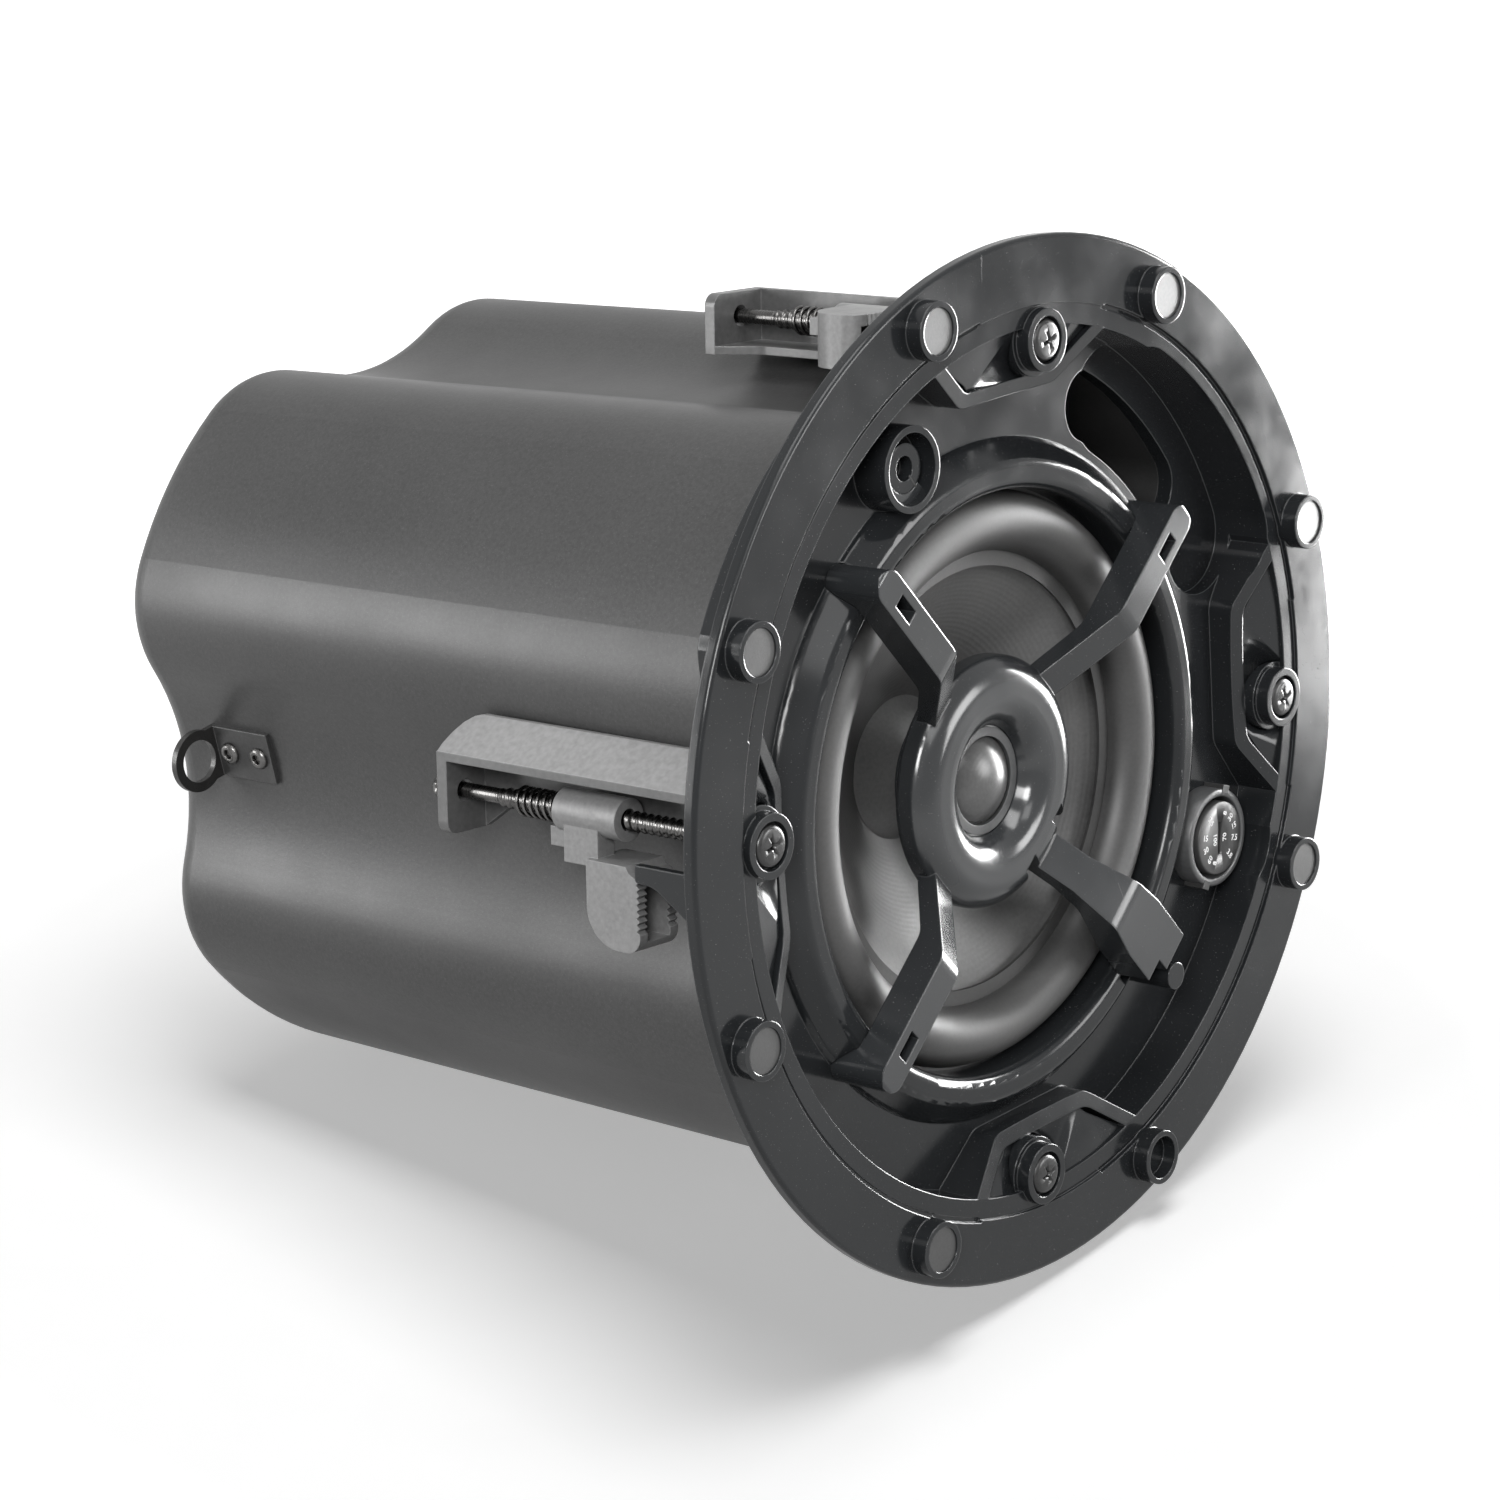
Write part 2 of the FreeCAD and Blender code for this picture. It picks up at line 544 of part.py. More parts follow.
def pocket(body, sketch, depth=None, upwards=False, both=False):
    """Cut a sketch away: down from its plane, up from it, or right through both ways."""
    feature = body.newObject("PartDesign::Pocket", f"{sketch.Name}Pocket")
    feature.Profile = sketch
    feature.Reversed = upwards
    if depth is None:
        feature.Type = "ThroughAll"
    else:
        feature.Length = as_size(depth).value
        bind(feature, "Length", depth)
    feature.Midplane = both
    return feature


def revolve(body, sketch, cut=False):
    kind = "PartDesign::Groove" if cut else "PartDesign::Revolution"
    feature = body.newObject(kind, f"{sketch.Name}Turned")
    feature.Profile = sketch
    feature.ReferenceAxis = (sketch, ["V_Axis"])
    feature.Angle = FULL_TURN
    return feature


def around(body, features, count, angle=FULL_TURN):
    """Repeat features round the body's own Z axis."""
    pattern = body.newObject("PartDesign::PolarPattern", f"{features[-1].Name}Ring")
    pattern.Originals = features
    axis = [feature for feature in body.Origin.OriginFeatures if feature.Role == "Z_Axis"][0]
    pattern.Axis = (axis, [""])
    pattern.Angle = angle
    pattern.Occurrences = int(as_size(count).value)
    body.Tip = pattern
    return pattern


def turned(label, corners, place=(0, 0), height=FRONT):
    """A piece of revolution from one closed outline of radius and height."""
    body = new_body(label)
    sketch = new_sketch(body, "XZ_Plane", f"{label}Section")
    draw_outline(sketch, corners)
    revolve(body, sketch)
    move(body, place[0], place[1], height)
    return body


def kept(label, shape, placement=None):
    """A sub-part whose shape is made directly."""
    piece = doc.addObject("Part::Feature", label)
    piece.Label = label
    piece.Shape = shape
    if placement is not None:
        piece.Placement = placement
    return piece


def aside(bearing, along, across):
    """A point given along and across a direction from the speaker's axis."""
    one, two = polar(along, bearing), polar(across, as_size(bearing) + QUARTER)
    return one[0] + two[0], one[1] + two[1]


def add_flange(body):
    """The flat ring in front with its collar, and the four-sided skirt behind it."""
    flange, depth, collar = dim("flange_radius"), dim("flange_thickness"), dim("skirt_radius")
    rear = -dim("collar_depth")
    section = new_sketch(body, "XZ_Plane", "FlangeSection")
    draw_outline(section, ((0, rear), (collar, rear), (collar, -depth), (flange, -depth),
                           (flange, 0, dim("flange_round")), (0, 0)))
    revolve(body, section)
    skirt = new_sketch(body, "XY_Plane", "SkirtOutline", -dim("skirt_depth"))
    draw_flatted(skirt, collar, dim("skirt_flat"), dim("skirt_corner"), dim("valley_turn"))
    pad(body, skirt, dim("skirt_depth") - depth)


def add_port_wall(body):
    """The wall round the part of the port mouth that reaches past the skirt."""
    wall = dim("skirt_wall")
    outside = new_sketch(body, "XY_Plane", "PortWall", -dim("mouth_depth") - wall)
    draw_arc_slot(outside, dim("port_inner") - wall, dim("port_outer") + wall, dim("port_first"), dim("port_last"))
    pad(body, outside, dim("mouth_depth") + wall - dim("bowl_depth"))


def cut_bowl(body):
    """The round bowl in the front, the space of the driver's rim and the land round the bowl."""
    bowl = new_sketch(body, "XY_Plane", "BowlOutline")
    draw_circle(bowl, dim("bowl_radius"))
    pocket(body, bowl, dim("bowl_depth"))
    hole = new_sketch(body, "XY_Plane", "RimSpace", -dim("bowl_depth"))
    draw_circle(hole, dim("bowl_join") - dim("flange_round"), *DRIVER)
    pocket(body, hole)
    land = new_sketch(body, "XY_Plane", "Land")
    draw_circle(land, dim("groove_radius"))
    pocket(body, land, dim("land_drop"))
    groove = new_sketch(body, "XY_Plane", "LandGroove")
    half = dim("groove_width") / 2
    draw_arc_slot(groove, dim("groove_radius") - half, dim("groove_radius") + half,
                  dim("groove_gap"), QUARTER - dim("groove_gap"))
    around(body, [pocket(body, groove, dim("groove_depth"))], 4)


def draw_island(sketch, inner, half, reach, spread):
    """The outline of a screw island: a blunt wedge whose wide end lies inside the collar's wall."""
    turn = dim("valley_turn") / 2
    corner = dim("island_round")
    draw_outline(sketch, (
        (*aside(turn, inner, -half), corner), polar(reach, turn - spread), polar(reach, turn - spread * 0.35),
        polar(reach, turn + spread * 0.35), polar(reach, turn + spread), (*aside(turn, inner, half), corner)))


def add_islands(body):
    """Four islands for the clamp screws: a shelf inside a rim that climbs toward the flange."""
    inner, half, spread, rim = (dim(f"island_{part}") for part in ("inner", "half", "spread", "rim"))
    rear, collar, wall = dim("collar_depth"), dim("skirt_radius"), dim("skirt_wall")
    shelf = new_sketch(body, "XY_Plane", "IslandShelf", -rear)
    draw_island(shelf, inner, half, collar - wall * 0.6, spread)
    around(body, [pad(body, shelf, rear - dim("island_shelf"))], 4)
    edge = new_sketch(body, "XY_Plane", "IslandRim", -rear)
    draw_island(edge, inner, half, collar - wall * 0.6, spread)
    draw_island(edge, inner + rim, half - rim * 0.3, collar - wall * 1.1, spread - rim * 0.8)
    around(body, [pad(body, edge, rear - dim("land_drop"))], 4)
    slope = new_sketch(body, "XZ_Plane", "IslandSlope")
    wide, deep = dim("bowl_radius"), dim("bowl_depth")
    draw_outline(slope, ((wide, -dim("land_drop")), (inner - 1, -dim("island_low")), (inner - 1, deep), (wide, deep)))
    revolve(body, slope, cut=True)


def cut_clamp_rooms(body):
    """The room behind each island in which the front of a clamp starts."""
    turn, flat, wide = dim("valley_turn"), dim("skirt_flat"), dim("flange_radius")
    shift, gap = dim("clamp_circle") * sine(turn), dim("room_gap")
    near, far = -shift - dim("channel_side") - gap * 0.8, dim("arm_end") - shift + gap
    room = new_sketch(body, "XY_Plane", "ClampRoom", -dim("collar_depth"))
    draw_outline(room, (aside(turn, flat, near), aside(turn, wide, near), aside(turn, wide, far),
                        aside(turn, flat + gap * 1.4, far), aside(turn, flat, far - gap * 1.7)))
    around(body, [pocket(body, room, dim("collar_depth") - dim("room_top"), upwards=True)], 4)


def add_guides(body):
    """The tapered guide behind the flange that holds each dog-leg folded."""
    near, root, tip = dim("guide_edge"), -dim("flange_thickness") / 2, -dim("guide_reach")
    far, narrow = near + dim("guide_width"), near + dim("guide_tip")
    guide = new_sketch(body, "YZ_Plane", "Guide", dim("guide_radius"))
    draw_outline(guide, ((near, root), (near, tip), (narrow, tip, 1), (narrow, tip + 5, 8), (far, tip * 0.45, 3),
                         (far, root)))
    around(body, [pad(body, guide, dim("guide_wall"))], 4)


def add_rim(body):
    """The raised rim that curls into the driver opening."""
    lift, across = -DRIVER[1], DRIVER[0]
    rim = new_sketch(body, "XZ_Plane", "RimSection", lift, across)
    join, floor, seat = dim("bowl_join"), -dim("bowl_depth"), -dim("seat_depth")
    opening, crest, curl = dim("opening_radius"), -dim("rim_crest_depth"), dim("rim_curl")
    draw_outline(rim, ((opening, seat), (join, seat), (join, floor, curl * 2),
                       (dim("rim_crest") + curl, crest, curl), (opening, crest, curl)))
    revolve(body, rim)
    seat_hole = new_sketch(body, "XY_Plane", "FrameRecess", -dim("skirt_depth"))
    draw_circle(seat_hole, dim("frame_radius") + dim("bezel_gap"), *DRIVER)
    pocket(body, seat_hole, dim("skirt_depth") - dim("seat_depth"), upwards=True)


def cut_port(body):
    """The wide kidney-shaped mouth of the bass port and the throat under it."""
    mouth = new_sketch(body, "XY_Plane", "PortMouth")
    draw_arc_slot(mouth, dim("port_inner"), dim("port_outer"), dim("port_first"), dim("port_last"))
    pocket(body, mouth, dim("mouth_depth"))
    throat = new_sketch(body, "XY_Plane", "PortThroat")
    draw_arc_slot(throat, dim("duct_inner"), dim("duct_outer"), dim("duct_first"), dim("duct_last"))
    pocket(body, throat)


def add_clamp_bosses(body):
    """The four stepped and ringed seats of the clamp screws."""
    place = (dim("clamp_circle"), 0)
    shelf = dim("island_shelf")
    foot = new_sketch(body, "XY_Plane", "BossFoot", -shelf)
    draw_circle(foot, dim("boss_foot"), *place)
    around(body, [pad(body, foot, shelf - dim("boss_step"))], 4)
    ring = new_sketch(body, "XY_Plane", "ScrewBoss", -shelf)
    draw_circle(ring, dim("boss_radius"), *place)
    seat = new_sketch(body, "XY_Plane", "HeadSeat", dim("boss_height"))
    draw_circle(seat, dim("head_radius") + dim("head_gap"), *place)
    bore = new_sketch(body, "XY_Plane", "ScrewBore", dim("boss_height"))
    draw_circle(bore, dim("shank_radius") + dim("running_gap"), *place)
    around(body, [pad(body, ring, dim("boss_height") + shelf)], 4)
    around(body, [pocket(body, seat, dim("boss_height") + dim("head_sink"))], 4)
    around(body, [pocket(body, bore)], 4)


def add_magnet_cups(body):
    """Eight cups on the flange that hold the grille's magnets."""
    place = polar(dim("magnet_circle"), dim("magnet_bearing"))
    cup = new_sketch(body, "XY_Plane", "MagnetCup", -dim("flange_thickness") / 2)
    draw_circle(cup, dim("magnet_cup_radius"), *place)
    around(body, [pad(body, cup, dim("magnet_cup_height") + dim("flange_thickness") / 2)], 8)
    hole = new_sketch(body, "XY_Plane", "MagnetHole", dim("magnet_cup_height"))
    draw_circle(hole, dim("magnet_radius"), *place)
    around(body, [pocket(body, hole, dim("magnet_thickness") + dim("magnet_sink"))], 8)


def cut_dial_recess(body):
    """The finger recess in the bowl wall and the hole for the dial's stem."""
    recess = new_sketch(body, "XY_Plane", "DialRecess")
    draw_circle(recess, dim("recess_radius"), *polar(dim("recess_circle"), dim("dial_bearing")))
    pocket(body, recess, dim("bowl_depth"))
    stem = new_sketch(body, "XY_Plane", "StemHole")
    draw_circle(stem, dim("dial_stem_radius") + dim("bezel_gap"), *polar(dim("dial_circle"), dim("dial_bearing")))
    pocket(body, stem)


def add_cups(body):
    """The tether cup at the upper left."""
    place = polar(dim("cup_circle"), dim("cup_bearing"))
    wall = new_sketch(body, "XY_Plane", "CupWall", -dim("bowl_depth") - dim("skirt_wall"))
    draw_circle(wall, dim("cup_radius"), *place)
    pad(body, wall, dim("bowl_depth") + dim("skirt_wall") - dim("cup_top"))
    well = new_sketch(body, "XY_Plane", "CupWell", -dim("cup_top"))
    draw_circle(well, dim("cup_radius") - dim("cup_wall"), *place)
    draw_circle(well, dim("cup_disc_radius"), *place)
    pocket(body, well, dim("cup_floor") - dim("cup_top"))
    disc = new_sketch(body, "XY_Plane", "CupDisc", -dim("cup_top"))
    draw_circle(disc, dim("cup_disc_radius"), *place)
    pocket(body, disc, dim("cup_disc_top") - dim("cup_top"))
    hole = new_sketch(body, "XY_Plane", "CupHole", -dim("cup_top"))
    draw_circle(hole, dim("cup_hole_radius"), *place)
    pocket(body, hole, dim("cup_floor") - dim("cup_top"))


def add_pin(body):
    """The round pin that locates the wide arm of the tweeter bridge."""
    x, y = polar(dim("pin_circle"), dim("pin_bearing"))
    pin = new_sketch(body, "XY_Plane", "LocatingPin", -dim("bowl_depth") - dim("skirt_wall") / 2)
    draw_circle(pin, dim("pin_radius"), DRIVER[0] + x, DRIVER[1] + y)
    pad(body, pin, dim("bowl_depth") + dim("skirt_wall") / 2 + dim("pin_rise"))


def beside(bearing, along, across):
    """A point given along and across a direction from the driver's axis."""
    x, y = aside(bearing, along, across)
    return DRIVER[0] + x, DRIVER[1] + y


def cut_arm_seats(body):
    """Notches in the raised rim for the feet of the tweeter bridge."""
    gap = dim("running_gap")
    half = dim("bridge_width") / 2 + gap
    start, end = dim("bridge_end") - dim("post_length") - gap, dim("bridge_end") + gap
    seats = new_sketch(body, "XY_Plane", "ArmSeats")
    for step in (0, 1, 2):
        bearing = dim("bridge_turn") + QUARTER * step
        draw_outline(seats, (beside(bearing, start, -half), (*beside(bearing, end, -half), half - gap * 2),
                             (*beside(bearing, end, half), half - gap * 2), beside(bearing, start, half)))
    bearing = dim("bridge_turn") + QUARTER * 3
    half = dim("wide_width") / 2 + gap
    start, end = dim("wide_end") - dim("wide_foot") - gap, dim("wide_end") + gap
    draw_outline(seats, (beside(bearing, start, -half), beside(bearing, end, -half),
                         beside(bearing, end, half), beside(bearing, start, half)))
    pocket(body, seats, dim("bowl_depth"))


def make_baffle():
    """The moulded baffle: flange, skirt, bowl, islands, rim, port mouth, cups, bosses and guides."""
    body = new_body("baffle")
    add_flange(body)
    add_port_wall(body)
    cut_bowl(body)
    add_islands(body)
    cut_clamp_rooms(body)
    add_rim(body)
    cut_port(body)
    add_clamp_bosses(body)
    add_guides(body)
    add_magnet_cups(body)
    cut_dial_recess(body)
    add_cups(body)
    cut_arm_seats(body)
    add_pin(body)
    move(body, z=FRONT)
    return body


def make_port_duct():
    """The duct behind the port mouth."""
    body = new_body("port_duct")
    wall = dim("duct_wall")
    inner, outer = dim("duct_inner"), dim("duct_outer")
    sketch = new_sketch(body, "XY_Plane", "DuctOutside", -dim("duct_depth"))
    draw_arc_slot(sketch, inner - wall, outer + wall, dim("duct_first"), dim("duct_last"))
    pad(body, sketch, dim("duct_depth") - dim("skirt_depth"))
    hollow = new_sketch(body, "XY_Plane", "DuctInside", -dim("duct_depth"))
    draw_arc_slot(hollow, inner, outer, dim("duct_first"), dim("duct_last"))
    pocket(body, hollow, upwards=True)
    move(body, z=FRONT)


def make_can():
    """The drawn steel can with four lobes, its valleys turned to clear the dog-legs."""
    body = new_body("back_can")
    height = dim("overall_depth") - dim("skirt_depth")
    floor = new_sketch(body, "XY_Plane", "CanOutline")
    draw_lobed(floor, dim("can_lobe"), dim("can_valley"), dim("can_valley_curve"), dim("can_shoulder"),
               dim("valley_turn"))
    solid = pad(body, floor, height, taper=dim("can_draft"))
    doc.recompute()
    edge = body.newObject("PartDesign::Fillet", "CanRearEdge")
    rear = [f"Edge{index}" for index, line in enumerate(solid.Shape.Edges, start=1)
            if line.BoundBox.ZMax < dim("can_wall").value / 2]
    edge.Base = (solid, rear)
    edge.Radius = dim("can_edge").value
    bind(edge, "Radius", dim("can_edge"))
    doc.recompute()
    shell = body.newObject("PartDesign::Thickness", "CanWall")
    mouth = [f"Face{index}" for index, face in enumerate(edge.Shape.Faces, start=1)
             if face.BoundBox.ZMin > height.value - dim("can_wall").value]
    shell.Base = (edge, mouth)
    shell.Value = dim("can_wall").value
    bind(shell, "Value", dim("can_wall"))
    shell.Reversed = True
    shell.Join = 1
    return body


def make_magnets():
    """Seven disc magnets in the cups; the cup at the lower right has lost its magnet."""
    discs = []
    empty_cup = 6
    top = dim("overall_depth").value + dim("magnet_cup_height").value - dim("magnet_sink").value
    for index in range(8):
        if index == empty_cup:
            continue
        bearing = dim("magnet_bearing").value + FULL_TURN / 8 * index
        base = at(dim("magnet_circle").value, bearing) + Vector(0, 0, top - dim("magnet_thickness").value)
        discs.append(Part.makeCylinder(dim("magnet_radius").value, dim("magnet_thickness").value, base))
    kept("grille_magnets", Part.Compound(discs))


def make_driver_frame():
    """The pressed frame of the woofer, with windows between its ribs."""
    body = new_body("driver_frame")
    sheet_size, seat = dim("frame_sheet"), -dim("seat_depth")
    top, foot, low = dim("basket_top"), dim("basket_foot"), seat - dim("basket_depth")
    ledge, shelf = seat - dim("surround_sheet"), low + dim("spider_depth")
    glued = dim("surround_outer") + dim("surround_land") + dim("running_gap")
    section = new_sketch(body, "XZ_Plane", "FrameSection")
    draw_outline(section, (
        (dim("frame_radius"), seat), (glued, seat), (glued, ledge), (top - sheet_size * 2, ledge),
        (top - sheet_size * 2, ledge - sheet_size), (top - sheet_size, ledge - sheet_size),
        (dim("shelf_radius") - sheet_size, shelf), (foot - sheet_size, shelf),
        (foot - sheet_size, low + sheet_size), (dim("basket_hole"), low + sheet_size),
        (dim("basket_hole"), low), (foot, low), (foot, shelf - sheet_size), (dim("shelf_radius"), shelf - sheet_size),
        (top, ledge - sheet_size), (dim("frame_radius"), ledge - sheet_size)))
    revolve(body, section)
    window = new_sketch(body, "YZ_Plane", "FrameWindow")
    half = dim("window_width") / 2
    draw_outline(window, ((-half, ledge - sheet_size * 2), (half, ledge - sheet_size * 2),
                          (half * 0.8, shelf + sheet_size), (-half * 0.8, shelf + sheet_size)))
    cut = pocket(body, window, dim("frame_radius"), upwards=True)
    around(body, [cut], dim("window_count"))
    move(body, DRIVER[0], DRIVER[1], FRONT)


def make_woofer():
    """Cone, surround, cap, coil, spider and magnet of the woofer, on the driver's own axis."""
    seat, sheet_size = -dim("seat_depth"), dim("surround_sheet")
    inner, outer, land = dim("surround_inner"), dim("surround_outer"), dim("surround_land")
    half = (outer - inner) / 2
    body = new_body("surround")
    section = new_sketch(body, "XZ_Plane", "SurroundSection")
    draw_surround(section, inner, outer, land, half, seat, sheet_size)
    revolve(body, section)
    move(body, DRIVER[0], DRIVER[1], FRONT)
    coil, former = dim("coil_radius"), dim("coil_sheet")
    neck = seat - dim("cone_depth")
    glue = seat - sheet_size
    thick = dim("cone_sheet")
    edge = inner + sheet_size
    turned("cone", ((edge, glue), (edge, glue - thick), (coil + former, neck - thick), (coil + former, neck)), DRIVER)
    turned("voice_coil", ((coil, neck + 2), (coil + former, neck + 2), (coil + former, neck - dim("coil_length")),
                          (coil, neck - dim("coil_length"))), DRIVER)
    winding = neck - dim("coil_length")
    turned("coil_winding", ((coil + former, winding + dim("winding_length")),
                            (coil + former * 2, winding + dim("winding_length")),
                            (coil + former * 2, winding), (coil + former, winding)), DRIVER)
    make_dust_cap(neck, edge, glue)
    make_spider(neck)
    make_motor()


def draw_surround(sketch, inner, outer, land, half, seat, sheet_size):
    """Half-roll section: two concentric arcs with flat glued edges."""
    middle = inner + half
    centre = Vector(middle.value, seat.value, 0)
    radius, thin = half.value, half.value - sheet_size.value
    left, right = Vector(inner.value, seat.value, 0), Vector(outer.value, seat.value, 0)
    top = Part.Arc(left, centre + Vector(0, radius, 0), right)
    under = Part.Arc(left + Vector(sheet_size.value, 0, 0), centre + Vector(0, thin, 0),
                     right - Vector(sheet_size.value, 0, 0))
    arcs = [sketch.addGeometry(top), sketch.addGeometry(under)]
    low = seat - sheet_size
    rows = (
        ((outer, seat), (outer + land, seat)), ((outer + land, seat), (outer + land, low)),
        ((outer + land, low), (outer - sheet_size, low)), ((outer - sheet_size, low), (outer - sheet_size, seat)),
        ((inner + sheet_size, seat), (inner + sheet_size, low)), ((inner + sheet_size, low), (inner - land, low)),
        ((inner - land, low), (inner - land, seat)), ((inner - land, seat), (inner, seat)),
    )
    for start, end in rows:
        line = sketch.addGeometry(Part.LineSegment(Vector(start[0].value, start[1].value, 0),
                                                   Vector(end[0].value, end[1].value, 0)))
        fix_point(sketch, line, 1, *start)
        fix_point(sketch, line, 2, *end)
    for arc, size in zip(arcs, (half, half - sheet_size)):
        fix_point(sketch, arc, 3, middle, seat)
        constrain(sketch, size, "Radius", arc)
        for point in (1, 2):
            constrain(sketch, seat, "DistanceY", -1, 1, arc, point)


def make_dust_cap(neck, cone_edge, cone_rim):
    """The domed cap over the voice coil."""
    radius, rise = dim("cap_radius").value, dim("cap_rise").value
    sphere = (radius ** 2 + rise ** 2) / (2 * rise)
    start = dim("coil_radius").value + dim("coil_sheet").value
    slope = (cone_rim.value - neck.value) / (cone_edge.value - start)
    foot = neck.value + (radius - start) * slope + dim("running_gap").value
    centre = Vector(DRIVER[0].value, DRIVER[1].value, FRONT.value + foot + rise - sphere)
    shell = Part.makeSphere(sphere, centre).cut(Part.makeSphere(sphere - dim("cone_sheet").value, centre))
    above = Part.makeCylinder(radius * 2, sphere * 2, centre + Vector(0, 0, sphere - rise))
    kept("dust_cap", shell.common(above))


def make_spider(neck):
    """The corrugated spider that centres the coil, as rings of up and down steps."""
    low = -dim("seat_depth") - dim("basket_depth") + dim("spider_depth")
    start, end = dim("coil_radius") + dim("coil_sheet"), dim("spider_outer")
    waves = 3
    step = (end - start) / (2 * waves)
    top, bottom = [], []
    for index in range(2 * waves + 1):
        lift = dim("spider_sheet") * (2 if index % 2 else 0)
        top.append((start + step * index, low + lift + dim("spider_sheet")))
        bottom.append((start + step * index, low + lift))
    turned("spider", tuple(top + bottom[::-1]), DRIVER)


def make_motor():
    """Top plate, ring magnet and back plate with its pole."""
    low = -dim("seat_depth") - dim("basket_depth")
    plate = low - dim("plate_thickness")
    magnet = plate - dim("magnet_ring_height")
    back = magnet - dim("yoke_thickness")
    gap, pole = dim("pole_gap"), dim("pole_radius")
    turned("top_plate", ((gap, plate), (dim("plate_radius"), plate), (dim("plate_radius"), low), (gap, low)), DRIVER)
    turned("ring_magnet", ((dim("magnet_ring_hole"), magnet), (dim("magnet_ring_radius"), magnet),
                           (dim("magnet_ring_radius"), plate), (dim("magnet_ring_hole"), plate)), DRIVER)
    turned("back_plate", ((0, back), (dim("plate_radius"), back), (dim("plate_radius"), magnet),
                          (pole, magnet), (pole, low), (0, low)), DRIVER)


def arm_side_view(sketch, end):
    """Side view of a bridge arm: foot, level run, elbow and slope to the hub."""
    rise, height = dim("arm_rise"), dim("bridge_height")
    elbow, root, foot = dim("bridge_elbow"), dim("bridge_root"), dim("post_length")
    floor, under = -dim("bowl_depth"), rise - height
    draw_outline(sketch, (
        (end, floor), (end, rise, 1), (elbow, rise, 6), (root, -dim("hub_rim_depth") + 1),
        (root, -dim("hub_back_depth") + 1), (elbow - foot / 2, under, 6), (end - foot, under), (end - foot, floor)))


def make_bridge():
    """The moulded tweeter bridge: a rolled hub on three narrow arms and a wide one."""
    body = new_body("tweeter_bridge")
    hub = new_sketch(body, "XZ_Plane", "HubSection")
    rim, crest = -dim("hub_rim_depth"), -dim("hub_crest_depth")
    radius, throat = dim("hub_radius"), dim("hub_throat")
    cup, back = dim("hub_cup_radius"), -dim("hub_back_depth")
    motor = dim("motor_radius") + dim("bezel_gap")
    draw_outline(hub, (
        (throat, -dim("hub_throat_depth")), (throat + 3, crest, 7), (dim("hub_crest_radius") + 4, crest, 7),
        (radius, rim, 2.5), (radius, back, 2), (cup, back), (cup, -dim("hub_cup_depth")),
        (motor, -dim("hub_cup_depth")), (motor, -dim("hub_throat_depth") - dim("ring_height")),
        (throat, -dim("hub_throat_depth") - dim("ring_height"))))
    revolve(body, hub)
    end = dim("bridge_end")
    side = new_sketch(body, "XZ_Plane", "ArmSide")
    arm_side_view(side, end)
    arm = pad(body, side, dim("bridge_width"), both=True)
    around(body, [arm], 3, HALF_TURN)
    slot = new_sketch(body, "XY_Plane", "ArmSlot", dim("arm_rise"))
    half_length, half_width = dim("slot_length") / 2, dim("slot_width") / 2
    draw_box(slot, dim("slot_place") - half_length, dim("slot_place") + half_length, -half_width, half_width)
    around(body, [pocket(body, slot, dim("bridge_height") * 1.2)], 3, HALF_TURN)
    ends = new_sketch(body, "XY_Plane", "ArmEnd", dim("arm_rise") + 1)
    draw_arm_end(ends)
    around(body, [pocket(body, ends)], 3, HALF_TURN)
    add_wide_arm(body)
    move(body, DRIVER[0], DRIVER[1], FRONT, turn=dim("bridge_turn"))


def draw_arm_end(sketch):
    """What is cut off the square end of an arm to leave it round."""
    end, half = dim("bridge_end"), dim("bridge_width") / 2
    beyond = end + 1
    corner = Vector(end.value - half.value, half.value, 0)
    arc = Part.Arc(corner, Vector(end.value, 0, 0), Vector(corner.x, -corner.y, 0))
    curve = sketch.addGeometry(arc)
    points = ((end - half, -half - 1), (beyond, -half - 1), (beyond, half + 1), (end - half, half + 1))
    inner = (end - half, -half), (end - half, half)
    path = (inner[0],) + points + (inner[1],)
    for start, stop in zip(path, path[1:]):
        line = sketch.addGeometry(Part.LineSegment(Vector(start[0].value, start[1].value, 0),
                                                   Vector(stop[0].value, stop[1].value, 0)))
        fix_point(sketch, line, 1, *start)
        fix_point(sketch, line, 2, *stop)
    fix_point(sketch, curve, 3, end - half, as_size(0))
    constrain(sketch, half, "Radius", curve)
    for point in (1, 2):
        constrain(sketch, end - half, "DistanceX", -1, 1, curve, point)


